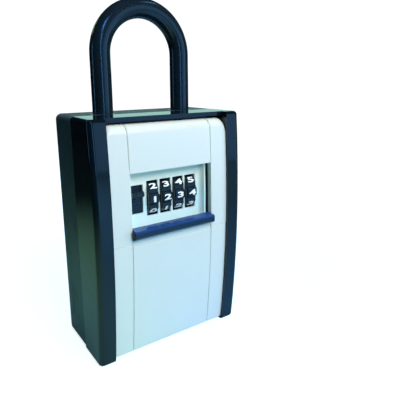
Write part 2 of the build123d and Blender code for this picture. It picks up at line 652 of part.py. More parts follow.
# ---- lock chassis, spindle and springs -----------------------------------------------------------
chassis_front_y = FLOOR_Y + FLOOR_THICKNESS
ring_left, ring_right = -13.2, 17.7
cheek = 1.2
chassis_plate = (64.4, 35.0)
chassis_thickness = 1.6
button_opening = (7.7, 22.4)
ring_back_y = 1.0
ring_low, ring_high = 66.6, 92.8
with BuildPart() as lock_chassis:
    with BuildSketch(Plane.XZ.offset(-chassis_front_y)):
        with Locations((0, 80.2)):
            RectangleRounded(*chassis_plate, 3.0)
    extrude(amount=-chassis_thickness)
    with BuildSketch(Plane.XZ.offset(-chassis_front_y)):
        with Locations(((ring_left + ring_right) / 2, (ring_low + ring_high) / 2)):
            Rectangle(ring_right - ring_left, ring_high - ring_low)
    extrude(amount=-(ring_back_y - chassis_front_y))
    with BuildSketch(Plane.XZ.offset(20.0)):
        with Locations(((ring_left + ring_right) / 2, (ring_low + ring_high) / 2)):
            Rectangle(ring_right - ring_left - 2 * cheek, ring_high - ring_low - 3.2)
        with Locations((BUTTON_X - 0.15, 79.6)):
            Rectangle(*button_opening)
        with Locations(CHASSIS_POSTS):
            Circle(1.3)
    extrude(amount=-30.0, mode=Mode.SUBTRACT)
    with BuildSketch(Plane.YZ.offset(-30.0)):
        with Locations((DIAL_Y, DIAL_Z)):
            Circle(SPINDLE_R + 0.02)
    extrude(amount=60.0, mode=Mode.SUBTRACT)
    # shelf under the return spring
    with BuildSketch(Plane.XY.offset(63.0)):
        with Locations((BUTTON_X, chassis_front_y + 3.0)):
            Rectangle(5.6, 6.0)
    extrude(amount=1.2)
finish(lock_chassis.part, "lock_chassis")
screw_group("chassis_screws", [(x, chassis_front_y + chassis_thickness, z) for x, z in CHASSIS_POSTS],
            (0, -1, 0), 3.4, radius=1.0, head_r=2.0, head_h=1.2)

with BuildPart() as dial_spindle:
    with BuildSketch(Plane.YZ.offset(ring_left - 1.4)):
        with Locations((DIAL_Y, DIAL_Z)):
            Circle(SPINDLE_R)
    extrude(amount=ring_right - ring_left + 2.8)
    chamfer(dial_spindle.edges(), 0.3)
    with BuildSketch(Plane.YZ.offset(ring_left - 0.7), Plane.YZ.offset(ring_right + 0.1)):
        with Locations((DIAL_Y, DIAL_Z)):
            Circle(SPINDLE_R + 1)
            Circle(SPINDLE_R - 0.4, mode=Mode.SUBTRACT)
    extrude(amount=0.6, mode=Mode.SUBTRACT)
finish(dial_spindle.part, "dial_spindle")

with BuildPart() as spindle_clips:
    with BuildSketch(Plane.YZ.offset(ring_left - 0.65), Plane.YZ.offset(ring_right + 0.15)):
        with Locations((DIAL_Y, DIAL_Z)):
            Circle(SPINDLE_R + 1.4)
            Circle(SPINDLE_R - 0.35, mode=Mode.SUBTRACT)
        with Locations((DIAL_Y + 2.0, DIAL_Z)):
            Rectangle(3.0, 1.6, mode=Mode.SUBTRACT)
    extrude(amount=0.5)
finish(spindle_clips.part, "spindle_clips")

detent_z = ring_low + 1.6
with BuildPart() as detent_spring:
    with BuildSketch(Plane.XY.offset(detent_z)):
        with Locations(((ring_left + ring_right) / 2, -12.0)):
            Rectangle(ring_right - ring_left - 2 * cheek - 0.4, 3.0)
        with Locations([(x, -8.0) for x in DIAL_X]):
            Rectangle(3.4, 8.0)
    extrude(amount=0.3)
finish(detent_spring.part, "detent_spring")

# ---- release button, latch bar and return spring -------------------------------------------------
button_back_y = LATCH_PLATE[0]
button_plate_y = chassis_front_y + 0.2
RIDGE_DEPTH = 3.6
GRIP_DEPTH = 1.2
LOW_GROOVES = (74.4, 76.0, 77.6, 79.2, 80.8)
HIGH_GROOVES = (85.0, 86.4)
with BuildPart() as release_button:
    with BuildSketch(Plane.XZ.offset(-button_plate_y)):
        with Locations((BUTTON_X, 78.9)):
            Rectangle(7.3, 17.4)
    extrude(amount=button_plate_y - button_back_y)
    with BuildSketch(Plane.XZ.offset(-button_plate_y)):
        with Locations((BUTTON_X, 78.75)):
            Rectangle(6.1, 10.9)
    extrude(amount=GRIP_DEPTH)
    with BuildSketch(Plane.XZ.offset(-button_plate_y)):
        with Locations((BUTTON_X, 82.8)):
            Rectangle(6.1, 2.8)
    extrude(amount=RIDGE_DEPTH)
    fillet(release_button.faces().sort_by(Axis.Y)[0].edges().filter_by(Axis.X), 1.0)
    # grip grooves above and below the thumb ridge
    with BuildSketch(Plane.YZ.offset(BUTTON_X)):
        with Locations([(button_plate_y - GRIP_DEPTH, z) for z in LOW_GROOVES]):
            Rectangle(0.9, 0.7)
        with Locations([(button_plate_y, z) for z in HIGH_GROOVES]):
            Rectangle(0.9, 0.6)
    extrude(amount=5.0, both=True, mode=Mode.SUBTRACT)
finish(release_button.part, "release_button")

latch_left, latch_right = -20.4, -14.4
latch_low_z = 72.0
cross_bar = (97.6, 14.4)
hook_half = 2.0
plate_depth = LATCH_PLATE[1] - LATCH_PLATE[0]
with BuildPart() as latch_bar:
    with BuildSketch(Plane.XZ.offset(-LATCH_PLATE[1])):
        with BuildLine():
            Polyline((latch_left, latch_low_z), (latch_left, TONGUE_Z[1]), (cross_bar[1], TONGUE_Z[1]),
                     (cross_bar[1], cross_bar[0]), (latch_right, cross_bar[0]), (latch_right, latch_low_z),
                     close=True)
        make_face()
    extrude(amount=plate_depth)
finish(latch_bar.part, "latch_bar")

with BuildPart() as latch_hooks:
    with BuildSketch(Plane.YZ.offset(-TONGUE_X), Plane.YZ.offset(TONGUE_X)):
        with BuildLine():
            Polyline((LATCH_PLATE[1], TONGUE_Z[0]), (LATCH_PLATE[1], TONGUE_Z[1]), (HOOK_Y[0], TONGUE_Z[1]),
                     (HOOK_Y[0], HOOK_TOP_Z), (HOOK_Y[1], HOOK_TOP_Z - 0.8), (HOOK_Y[1], TONGUE_Z[0]),
                     close=True)
        make_face()
    extrude(amount=hook_half, both=True)
finish(latch_hooks.part, "latch_hooks")

spring_low, spring_high = 64.2, latch_low_z
spring_wire_r = 0.25
with BuildPart() as latch_spring:
    with BuildLine() as coil:
        Helix(
            pitch=1.3, height=spring_high - spring_low - 2 * spring_wire_r - 0.1, radius=1.2,
            center=(BUTTON_X, -11.4, spring_low + spring_wire_r + 0.05),
        )
    with BuildSketch(Plane(origin=coil.line @ 0, z_dir=coil.line % 0)):
        Circle(spring_wire_r)
    sweep(is_frenet=True)
finish(latch_spring.part, "latch_spring")

# ---- inner cover of the door ---------------------------------------------------------------------
cover_back_y = -0.55
cover_front_y = -1.75
bulge_left, bulge_right = -14.7, 19.2
bulge_low, bulge_high = 65.2, 94.2
bulge_back_y = 3.8
RESET_X, RESET_Z = 29.5, 80.0
RESET_SHAFT_R = 2.0
LEVER_LENGTH = 7.8
CAP_CORNER_R = 1.5
CAP_WALL = 1.2
TONGUE_OPENING = (5.2, 8.4)
LEVER_THICKNESS = 1.7
SHAFT_LENGTH = 3.4
cap_centre = ((bulge_left + bulge_right) / 2, (bulge_low + bulge_high) / 2)
cap_size = (bulge_right - bulge_left, bulge_high - bulge_low)
with BuildPart() as inner_cover:
    with BuildSketch(Plane.XZ.offset(-cover_back_y)):
        with Locations((0, (bottom_wall_z[1] + HEIGHT - WALL) / 2)):
            RectangleRounded(2 * frame_inner_half - 0.4, HEIGHT - WALL - bottom_wall_z[1] - 0.4, 1.0)
    extrude(amount=cover_back_y - cover_front_y)
    with BuildSketch(Plane.XZ.offset(-5.0)):
        with Locations(cap_centre):
            RectangleRounded(*cap_size, CAP_CORNER_R)
        with Locations((-TONGUE_X, 105.0), (TONGUE_X, 105.0)):
            Rectangle(*TONGUE_OPENING)
        with Locations((RESET_X, RESET_Z)):
            Circle(RESET_SHAFT_R + 0.05)
        with Locations(COVER_POSTS):
            Circle(1.5)
    extrude(amount=10.0, mode=Mode.SUBTRACT)
finish(inner_cover.part, "inner_cover")

# the cap over the wheels fits in the cover's opening
with BuildPart() as lock_cap:
    with BuildSketch(Plane.XZ.offset(-bulge_back_y)):
        with Locations(cap_centre):
            RectangleRounded(*cap_size, CAP_CORNER_R)
    extrude(amount=bulge_back_y - cover_front_y)
    fillet(lock_cap.faces().sort_by(Axis.Y)[-1].edges(), 0.8)
    with BuildSketch(Plane.XZ.offset(-(bulge_back_y - CAP_WALL))):
        with Locations(cap_centre):
            Rectangle(cap_size[0] - 2 * CAP_WALL, cap_size[1] - 2 * CAP_WALL)
    extrude(amount=10.0, mode=Mode.SUBTRACT)
finish(lock_cap.part, "lock_cap")
screw_group("cover_screws", [(x, cover_back_y, z) for x, z in COVER_POSTS], (0, -1, 0), 9.0,
            radius=1.2, head_r=2.4, head_h=0.45)

with BuildPart() as reset_lever:
    with BuildSketch(Plane.XZ.offset(-(cover_back_y + 0.2))):
        with Locations((RESET_X, RESET_Z)):
            Circle(3.4)
        with Locations((RESET_X, RESET_Z + LEVER_LENGTH / 2)):
            RectangleRounded(4.0, LEVER_LENGTH, 1.6)
    extrude(amount=-LEVER_THICKNESS)
    with BuildSketch(Plane.XZ.offset(-(cover_back_y + 0.2))):
        with Locations((RESET_X, RESET_Z)):
            Circle(RESET_SHAFT_R)
    extrude(amount=SHAFT_LENGTH)
finish(reset_lever.part, "reset_lever")
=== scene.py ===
import json
import math
from math import radians

import bmesh
import bpy
from mathutils import Matrix, Vector


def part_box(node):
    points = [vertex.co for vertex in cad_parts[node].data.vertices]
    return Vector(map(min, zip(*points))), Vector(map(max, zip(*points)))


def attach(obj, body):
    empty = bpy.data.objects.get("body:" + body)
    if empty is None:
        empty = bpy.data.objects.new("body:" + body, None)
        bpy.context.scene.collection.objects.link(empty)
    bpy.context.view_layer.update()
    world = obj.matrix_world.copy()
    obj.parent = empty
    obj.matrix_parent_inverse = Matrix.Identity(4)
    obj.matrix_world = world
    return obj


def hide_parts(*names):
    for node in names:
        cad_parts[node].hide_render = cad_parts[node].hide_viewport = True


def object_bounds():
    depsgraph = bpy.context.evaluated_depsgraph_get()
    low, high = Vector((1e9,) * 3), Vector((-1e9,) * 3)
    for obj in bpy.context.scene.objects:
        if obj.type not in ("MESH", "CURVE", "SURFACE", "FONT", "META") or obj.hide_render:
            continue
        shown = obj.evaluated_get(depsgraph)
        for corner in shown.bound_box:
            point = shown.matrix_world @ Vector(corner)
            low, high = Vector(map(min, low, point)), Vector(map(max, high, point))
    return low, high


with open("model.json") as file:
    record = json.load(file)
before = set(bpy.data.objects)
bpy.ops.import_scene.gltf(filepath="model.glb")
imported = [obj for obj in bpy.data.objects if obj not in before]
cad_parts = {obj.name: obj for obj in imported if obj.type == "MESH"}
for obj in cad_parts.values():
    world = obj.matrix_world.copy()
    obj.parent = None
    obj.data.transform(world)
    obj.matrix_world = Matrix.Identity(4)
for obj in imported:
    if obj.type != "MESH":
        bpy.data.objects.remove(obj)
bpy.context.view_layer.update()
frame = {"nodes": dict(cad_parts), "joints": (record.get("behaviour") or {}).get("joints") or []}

# ==== Rear case ==================================================================================
# One deep die-cast shell that holds the keys and the shackle. It is sprayed with a fine matte
# black powder coat; the rim where the door meets it and the back edges are rounded in the mould.
RIM_ROUND = 0.00035
MERGE_GAP = 2e-6
FLAT_WITHIN = 0.4
THINNEST_FACE = 1e-6
FLAT_FACE_WEIGHT = 90


def add_node(tree, kind, inputs=None, **settings):
    """Adds one node: settings are its properties, inputs are values or sockets to link, by name."""
    made = tree.nodes.new(kind)
    for name, value in settings.items():
        setattr(made, name, value)
    for socket, value in (inputs or {}).items():
        if isinstance(value, bpy.types.NodeSocket):
            tree.links.new(value, made.inputs[socket])
        else:
            made.inputs[socket].default_value = value
    return made


def new_group(name, kind, takes, gives):
    """An empty node group with named sockets: takes and gives map a name to (socket type, default)."""
    tree = bpy.data.node_groups.new(name, kind)
    for in_out, sockets in (("INPUT", takes), ("OUTPUT", gives)):
        for socket_name, (socket_type, default) in sockets.items():
            socket = tree.interface.new_socket(socket_name, in_out=in_out, socket_type=socket_type)
            if default is not None:
                socket.default_value = default
    return tree, tree.nodes.new("NodeGroupInput"), tree.nodes.new("NodeGroupOutput")


def build_grain():
    """Fine bumps of a coat or a moulded skin, about 1 / Density across."""
    tree, given, out = new_group(
        "fine_grain", "ShaderNodeTree",
        {"Vector": ("NodeSocketVector", None), "Density": ("NodeSocketFloat", 3000.0),
         "Coarseness": ("NodeSocketFloat", 0.5)},
        {"Height": ("NodeSocketFloat", None), "Speckle": ("NodeSocketFloat", None)},
    )
    small = add_node(tree, "ShaderNodeTexNoise",
                     {"Vector": given.outputs["Vector"], "Scale": given.outputs["Density"], "Detail": 3.0,
                      "Roughness": given.outputs["Coarseness"]})
    cell_density = add_node(tree, "ShaderNodeMath", {0: given.outputs["Density"], 1: 0.55},
                            operation="MULTIPLY")
    cells = add_node(tree, "ShaderNodeTexVoronoi",
                     {"Vector": given.outputs["Vector"], "Scale": cell_density.outputs[0]})
    mixed = add_node(tree, "ShaderNodeMix",
                     {"Factor": 0.4, "A": small.outputs["Fac"], "B": cells.outputs["Distance"]})
    tree.links.new(mixed.outputs[0], out.inputs["Height"])
    tree.links.new(small.outputs["Fac"], out.inputs["Speckle"])
    return tree


def build_tone():
    """Slow drift between two close colours, with a fine speckle on top."""
    tree, given, out = new_group(
        "tone_drift", "ShaderNodeTree",
        {"Vector": ("NodeSocketVector", None), "Speckle": ("NodeSocketFloat", 0.5),
         "Light": ("NodeSocketColor", None), "Dark": ("NodeSocketColor", None),
         "Patch Density": ("NodeSocketFloat", 40.0), "Speckle Share": ("NodeSocketFloat", 0.3)},
        {"Color": ("NodeSocketColor", None)},
    )
    patches = add_node(tree, "ShaderNodeTexNoise",
                       {"Vector": given.outputs["Vector"], "Scale": given.outputs["Patch Density"],
                        "Detail": 4.0, "Roughness": 0.55})
    share = add_node(tree, "ShaderNodeMix",
                     {"Factor": given.outputs["Speckle Share"], "A": patches.outputs["Fac"],
                      "B": given.outputs["Speckle"]})
    spread = add_node(tree, "ShaderNodeMapRange",
                      {"Value": share.outputs[0], "From Min": 0.3, "From Max": 0.7})
    colour = add_node(tree, "ShaderNodeMix",
                      {"Factor": spread.outputs[0], "A": given.outputs["Dark"], "B": given.outputs["Light"]},
                      data_type="RGBA")
    tree.links.new(colour.outputs["Result"], out.inputs["Color"])
    return tree


def build_handling():
    """Roughness that varies where hands have polished or greased a surface."""
    tree, given, out = new_group(
        "handling_marks", "ShaderNodeTree",
        {"Vector": ("NodeSocketVector", None), "Clean": ("NodeSocketFloat", 0.3),
         "Smudged": ("NodeSocketFloat", 0.4), "Smudge Density": ("NodeSocketFloat", 60.0)},
        {"Roughness": ("NodeSocketFloat", None), "Mask": ("NodeSocketFloat", None)},
    )
    smears = add_node(tree, "ShaderNodeTexNoise",
                      {"Vector": given.outputs["Vector"], "Scale": given.outputs["Smudge Density"],
                       "Detail": 5.0, "Roughness": 0.6, "Distortion": 0.8})
    mask = add_node(tree, "ShaderNodeMapRange",
                    {"Value": smears.outputs["Fac"], "From Min": 0.42, "From Max": 0.66},
                    interpolation_type="SMOOTHSTEP")
    rough = add_node(tree, "ShaderNodeMix",
                     {"Factor": mask.outputs[0], "A": given.outputs["Clean"], "B": given.outputs["Smudged"]})
    tree.links.new(rough.outputs[0], out.inputs["Roughness"])
    tree.links.new(mask.outputs[0], out.inputs["Mask"])
    return tree


GRAIN = build_grain()
TONE = build_tone()
HANDLING = build_handling()


def coat(name, light, dark, clean, smudged, grain=3000.0, depth=0.00001, patches=40.0, metallic=0.0,
         speckle=0.3, **sockets):
    """A sprayed or moulded finish: two close tones, varied roughness and a fine grain in relief."""
    material = bpy.data.materials.new(name)
    material.use_nodes = True
    tree = material.node_tree
    shader = tree.nodes["Principled BSDF"]
    place = add_node(tree, "ShaderNodeTexCoord").outputs["Object"]
    grains = add_node(tree, "ShaderNodeGroup", node_tree=GRAIN)
    tones = add_node(tree, "ShaderNodeGroup", node_tree=TONE)
    marks = add_node(tree, "ShaderNodeGroup", node_tree=HANDLING)
    for group in (grains, tones, marks):
        tree.links.new(place, group.inputs["Vector"])
    grains.inputs["Density"].default_value = grain
    tones.inputs["Light"].default_value = (*light, 1.0)
    tones.inputs["Dark"].default_value = (*dark, 1.0)
    tones.inputs["Patch Density"].default_value = patches
    tones.inputs["Speckle Share"].default_value = speckle
    tree.links.new(grains.outputs["Speckle"], tones.inputs["Speckle"])
    marks.inputs["Clean"].default_value = clean
    marks.inputs["Smudged"].default_value = smudged
    relief = add_node(tree, "ShaderNodeBump",
                      {"Height": grains.outputs["Height"], "Strength": 1.0, "Distance": depth})
    tree.links.new(tones.outputs["Color"], shader.inputs["Base Color"])
    tree.links.new(marks.outputs["Roughness"], shader.inputs["Roughness"])
    tree.links.new(relief.outputs["Normal"], shader.inputs["Normal"])
    shader.inputs["Metallic"].default_value = metallic
    for socket, value in sockets.items():
        shader.inputs[socket.replace("_", " ")].default_value = value
    return material


def merged_copy(cad_name):
    """A CAD piece's faces as one joined skin, flat areas cleared of their inner edges."""
    bm = bmesh.new()
    bm.from_mesh(frame["nodes"][cad_name].data)
    bmesh.ops.remove_doubles(bm, verts=bm.verts, dist=MERGE_GAP)
    bmesh.ops.dissolve_limit(bm, angle_limit=radians(FLAT_WITHIN), verts=bm.verts, edges=bm.edges)
    return bm


def settle(bm, name, material, body, slot_name, *stands_for, smooth_below=35.0):
    """Turns finished geometry into a piece: shading, material, body and what it stands for (slot is not
    used).
    """
    bmesh.ops.dissolve_degenerate(bm, dist=THINNEST_FACE, edges=bm.edges)
    mesh = bpy.data.meshes.new(name)
    bm.to_mesh(mesh)
    bm.free()
    for leftover in ("custom_normal", "sharp_face"):
        if leftover in mesh.attributes:
            mesh.attributes.remove(mesh.attributes[leftover])
    mesh.shade_smooth()
    mesh.set_sharp_from_angle(angle=radians(smooth_below))
    mesh.materials.clear()
    mesh.materials.append(material)
    piece = bpy.data.objects.new(name, mesh)
    bpy.context.scene.collection.objects.link(piece)
    shading = piece.modifiers.new("flat_faces_lead", "WEIGHTED_NORMAL")
    shading.weight = FLAT_FACE_WEIGHT
    shading.keep_sharp = True
    shaded = piece.evaluated_get(bpy.context.evaluated_depsgraph_get())
    piece.data = bpy.data.meshes.new_from_object(shaded)
    piece.modifiers.clear()
    piece.data.name = name
    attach(piece, body)
    if stands_for:
        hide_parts(*stands_for)
    return piece


def softened(cad_name, name, width, material, body, slot_name, segments=2, sharper_than=32.0):
    """A CAD piece with its hard edges rounded by a width, as a mould or a deburring leaves them."""
    bm = merged_copy(cad_name)
    hard = [edge for edge in bm.edges
            if len(edge.link_faces) == 2 and edge.calc_face_angle(0.0) > radians(sharper_than)]
    bmesh.ops.bevel(bm, geom=hard, offset=width, segments=segments, profile=0.5, affect="EDGES",
                    clamp_overlap=True, harden_normals=False)
    return settle(bm, name, material, body, slot_name, cad_name)


def dress(material, *cad_names):
    """Gives CAD pieces that stay as they are their finish."""
    for cad_name in cad_names:
        mesh = frame["nodes"][cad_name].data
        mesh.materials.clear()
        mesh.materials.append(material)


powder_coat = coat("black_powder_coat", (0.044, 0.072, 0.094), (0.027, 0.048, 0.066), 0.44, 0.54,
                   grain=2600.0, depth=0.000035, patches=25.0)
softened("rear_shell", "rear_case", RIM_ROUND, powder_coat, "case", "case_black")

# ==== Liner of the key compartment ===============================================================
# A thin dark grey moulded tray with low ribs lies in the bottom of the case, so that keys don't
# rattle on the casting. It clips in between the side walls.
liner_grey = coat("liner_grey", (0.105, 0.115, 0.125), (0.075, 0.085, 0.095), 0.5, 0.62,
                  grain=1800.0, depth=0.00003)
FINE_EDGE = 0.0002
softened("compartment_tray", "key_tray", FINE_EDGE, liner_grey, "case", "tray_grey")

# ==== Key hook ===================================================================================
# A bent steel wire welded to a small oval plate on the back wall. It is bright zinc plated.


def build_streaks():
    """Fine drawn lines along X, as rolling and plating leave them."""
    tree, given, out = new_group(
        "drawn_lines", "ShaderNodeTree",
        {"Vector": ("NodeSocketVector", None), "Density": ("NodeSocketFloat", 2500.0),
         "Stretch": ("NodeSocketFloat", 0.06)},
        {"Height": ("NodeSocketFloat", None), "Streak": ("NodeSocketFloat", None)},
    )
    stretch = add_node(tree, "ShaderNodeCombineXYZ", {"X": given.outputs["Stretch"], "Y": 1.0, "Z": 1.0})
    along = add_node(tree, "ShaderNodeVectorMath", {0: given.outputs["Vector"], 1: stretch.outputs[0]},
                     operation="MULTIPLY")
    lines = add_node(tree, "ShaderNodeTexNoise",
                     {"Vector": along.outputs[0], "Scale": given.outputs["Density"], "Detail": 2.0})
    tree.links.new(lines.outputs["Fac"], out.inputs["Height"])
    tree.links.new(lines.outputs["Fac"], out.inputs["Streak"])
    return tree


STREAKS = build_streaks()


def plating(name, light, dark, clean, smudged, density=2500.0, depth=0.000004, patches=120.0):
    """Bright metal: drawn lines in relief, cloudy tone and roughness."""
    material = coat(name, light, dark, clean, smudged, grain=density, depth=depth, patches=patches,
                    metallic=1.0)
    tree = material.node_tree
    lines = add_node(tree, "ShaderNodeGroup", node_tree=STREAKS)
    lines.inputs["Density"].default_value = density
    place = next(n for n in tree.nodes if n.type == "TEX_COORD").outputs["Object"]
    tree.links.new(place, lines.inputs["Vector"])
    relief = next(n for n in tree.nodes if n.type == "BUMP")
    tree.links.new(lines.outputs["Height"], relief.inputs["Height"])
    return material


zinc_plate = plating("zinc_plated_steel", (0.66, 0.68, 0.70), (0.50, 0.52, 0.55), 0.24, 0.38)
dress(zinc_plate, "key_hook")

# ==== Shackle block, standoffs and bushes ========================================================
# A zinc casting guides both legs of the shackle and holds its bolt. Two standoffs and long screws
# hang it from the top wall; black plastic bushes line the two holes in that wall.
cast_zinc = coat("bare_zinc_casting", (0.44, 0.46, 0.48), (0.30, 0.32, 0.34), 0.42, 0.58, grain=1500.0,
                 depth=0.00004, patches=90.0, metallic=0.85)
blue_black = coat("blue_black_plastic", (0.010, 0.030, 0.085), (0.006, 0.016, 0.045), 0.15, 0.22,
                  grain=2400.0, depth=0.000004)
satin_black = coat("satin_black_plastic", (0.010, 0.020, 0.034), (0.006, 0.012, 0.022), 0.24, 0.34,
                   grain=2400.0, depth=0.000006)
SOFT_EDGE = 0.0003
softened("shackle_block", "shackle_guide", SOFT_EDGE, cast_zinc, "case", "zinc")
dress(cast_zinc, "block_standoffs")
dress(satin_black, "shackle_bushes")

# ==== Latch keeper and hinge =====================================================================
# The keeper is a folded steel angle under the top wall that the latch hooks catch. The hinge is two
# rolled steel leaves on one long pin along the bottom edge.
dress(zinc_plate, "latch_keeper", "case_hinge_leaf", "door_hinge_leaf", "hinge_pin")

# ==== Shackle ====================================================================================
# A hardened 10 mm steel bow in a smooth black vinyl sleeve. The long leg keeps a spring clip in its
# groove, the short leg has a notch for the bolt.
vinyl = coat("black_vinyl_sleeve", (0.007, 0.016, 0.025), (0.005, 0.011, 0.018), 0.15, 0.21, grain=1600.0,
             depth=0.000002, patches=60.0)
spring_steel = plating("spring_steel", (0.40, 0.41, 0.43), (0.26, 0.27, 0.30), 0.28, 0.40)
dress(vinyl, "shackle")
dress(spring_steel, "shackle_clip")

# ==== Shackle bolt ===============================================================================
# A square steel bolt with a red moulded thumb tab, reached from inside the open case.
tab_red = coat("moulded_red", (0.50, 0.045, 0.030), (0.38, 0.030, 0.022), 0.34, 0.46, grain=2200.0,
               depth=0.00001)
softened("shackle_bolt", "square_bolt", FINE_EDGE, zinc_plate, "shackle_bolt", "steel")
softened("bolt_tab", "bolt_thumb_tab", SOFT_EDGE, tab_red, "shackle_bolt", "lever_red")

# ==== Glossy surround of the door ================================================================
# The door's body is moulded in polished black plastic: two tall rails, a top bar and thin side
# walls. It carries the silver panels on a recessed plate and the lock on posts behind it.
RAIL_ROUND = 0.00022
gloss_black = coat("polished_black_plastic", (0.0035, 0.0085, 0.014), (0.0025, 0.0060, 0.0100), 0.05, 0.11,
                   grain=220.0, depth=0.000006, patches=30.0)
softened("front_frame", "glossy_surround", RAIL_ROUND, gloss_black, "door", "gloss_black")

# ==== Screws and rivets ==========================================================================
# Small zinc plated machine screws with a cross recess, and the hook's two rivets. Each group is
# one set of heads and shanks, driven in by hand, so that every recess stands at its own angle.


def build_fastener():
    """One fastener on each point: a rounded head with a cross recess, along the point's normal."""
    tree, given, out = new_group(
        "driven_fasteners", "GeometryNodeTree",
        {"Geometry": ("NodeSocketGeometry", None), "Head Radius": ("NodeSocketFloat", 0.0024),
         "Head Height": ("NodeSocketFloat", 0.0015), "Shank Radius": ("NodeSocketFloat", 0.00125),
         "Shank Length": ("NodeSocketFloat", 0.008), "Recess Width": ("NodeSocketFloat", 0.0006),
         "Turn Seed": ("NodeSocketInt", 7), "Material": ("NodeSocketMaterial", None)},
        {"Geometry": ("NodeSocketGeometry", None)},
    )

    def maths(operation, first, second):
        return add_node(tree, "ShaderNodeMath", {0: first, 1: second}, operation=operation).outputs[0]

    def raised(geometry, height):
        offset = add_node(tree, "ShaderNodeCombineXYZ", {"Z": height})
        return add_node(tree, "GeometryNodeTransform",
                        {"Geometry": geometry, "Translation": offset.outputs[0]}).outputs["Geometry"]

    head_r = given.outputs["Head Radius"]
    head_h = given.outputs["Head Height"]
    rim = add_node(tree, "GeometryNodeMeshCylinder",
                   {"Vertices": 32, "Radius": head_r, "Depth": maths("MULTIPLY", head_h, 0.5)})
    dome = add_node(tree, "GeometryNodeMeshCone",
                    {"Vertices": 32, "Radius Top": maths("MULTIPLY", head_r, 0.72),
                     "Radius Bottom": head_r, "Depth": maths("MULTIPLY", head_h, 0.5)})
    shank = add_node(tree, "GeometryNodeMeshCylinder",
                     {"Vertices": 24, "Radius": given.outputs["Shank Radius"],
                      "Depth": given.outputs["Shank Length"]})
    rim_low = raised(rim.outputs["Mesh"], maths("MULTIPLY", head_h, 0.25))
    dome_high = raised(dome.outputs["Mesh"], maths("MULTIPLY", head_h, 0.5))
    shank_low = raised(shank.outputs["Mesh"], maths("MULTIPLY", given.outputs["Shank Length"], -0.5))
    head = add_node(tree, "GeometryNodeJoinGeometry")
    for part in (dome_high, rim_low):
        tree.links.new(part, head.inputs[0])
    welded = add_node(tree, "GeometryNodeMergeByDistance",
                      {"Geometry": head.outputs[0], "Distance": THINNEST_FACE})
    arm_long = maths("MULTIPLY", head_r, 1.1)
    recess_deep = maths("MULTIPLY", head_h, 1.1)
    recessed = welded.outputs[0]
    for sizes in ((arm_long, given.outputs["Recess Width"]), (given.outputs["Recess Width"], arm_long)):
        size = add_node(tree, "ShaderNodeCombineXYZ", {"X": sizes[0], "Y": sizes[1], "Z": recess_deep})
        arm = add_node(tree, "GeometryNodeMeshCube", {"Size": size.outputs[0]})
        cutter = raised(arm.outputs["Mesh"], head_h)
        cut = add_node(tree, "GeometryNodeMeshBoolean", operation="DIFFERENCE")
        tree.links.new(recessed, cut.inputs["Mesh 1"])
        tree.links.new(cutter, cut.inputs["Mesh 2"])
        recessed = cut.outputs["Mesh"]
    whole = add_node(tree, "GeometryNodeJoinGeometry")
    for part in (shank_low, recessed):
        tree.links.new(part, whole.inputs[0])
    normal = add_node(tree, "GeometryNodeInputNamedAttribute", {"Name": "axis"}, data_type="FLOAT_VECTOR")
    stand = add_node(tree, "FunctionNodeAlignRotationToVector",
                     {"Vector": normal.outputs["Attribute"]}, axis="Z")
    angle = add_node(tree, "FunctionNodeRandomValue",
                     {"Min": 0.0, "Max": math.pi / 2, "Seed": given.outputs["Turn Seed"]}, data_type="FLOAT")
    spin = add_node(tree, "FunctionNodeAxisAngleToRotation", {"Axis": (0.0, 0.0, 1.0)})
    tree.links.new(next(s for s in angle.outputs if s.enabled), spin.inputs["Angle"])
    turned = add_node(tree, "FunctionNodeRotateRotation",
                      {"Rotation": stand.outputs[0], "Rotate By": spin.outputs[0]}, rotation_space="LOCAL")
    placed = add_node(tree, "GeometryNodeInstanceOnPoints",
                      {"Points": given.outputs["Geometry"], "Instance": whole.outputs[0],
                       "Rotation": turned.outputs[0]})
    real = add_node(tree, "GeometryNodeRealizeInstances", {"Geometry": placed.outputs[0]})
    painted = add_node(tree, "GeometryNodeSetMaterial",
                       {"Geometry": real.outputs[0], "Material": given.outputs["Material"]})
    tree.links.new(painted.outputs[0], out.inputs["Geometry"])
    return tree


FASTENER = build_fastener()


def grown(seed_mesh, tree, values):
    """The plain mesh that a Geometry Nodes tree grows on a mesh, with its inputs set by name."""
    host = bpy.data.objects.new("host", seed_mesh)
    bpy.context.scene.collection.objects.link(host)
    modifier = host.modifiers.new("grow", "NODES")
    modifier.node_group = tree
    for item in tree.interface.items_tree:
        if item.in_out == "INPUT" and item.name in values:
            modifier[item.identifier] = values[item.name]
    evaluated = host.evaluated_get(bpy.context.evaluated_depsgraph_get())
    mesh = bpy.data.meshes.new_from_object(evaluated)
    host.modifiers.clear()
    bpy.data.objects.remove(host)
    bm = bmesh.new()
    bm.from_mesh(mesh)
    return bm


def drive(cad_name, name, body, towards, heads, **sizes):
    """Fasteners at the heads' seats, given as (x, z) or (x, y) on the CAD group's own plane."""
    low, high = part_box(cad_name)
    outward = -Vector(towards)
    seat = low if sum(outward) < 0 else high
    seats = bpy.data.meshes.new(name + "_seats")
    points = []
    for first, second in heads:
        if abs(outward.y) > 0:
            points.append((first, seat.y - outward.y * sizes["head_h"], second))
        else:
            points.append((first, second, seat.z - outward.z * sizes["head_h"]))
    seats.from_pydata(points, [], [])
    axis = seats.attributes.new("axis", "FLOAT_VECTOR", "POINT")
    for entry in axis.data:
        entry.vector = outward
    deep = abs((high - low).dot(outward)) - sizes["head_h"]
    values = {"Head Radius": sizes["head_r"], "Head Height": sizes["head_h"],
              "Shank Radius": sizes["shank_r"], "Shank Length": deep,
              "Recess Width": sizes.get("recess", 0.0006), "Turn Seed": len(points) + 3,
              "Material": zinc_plate}
    return settle(grown(seats, FASTENER, values), name, zinc_plate, body, "steel", cad_name,
                  smooth_below=40.0)


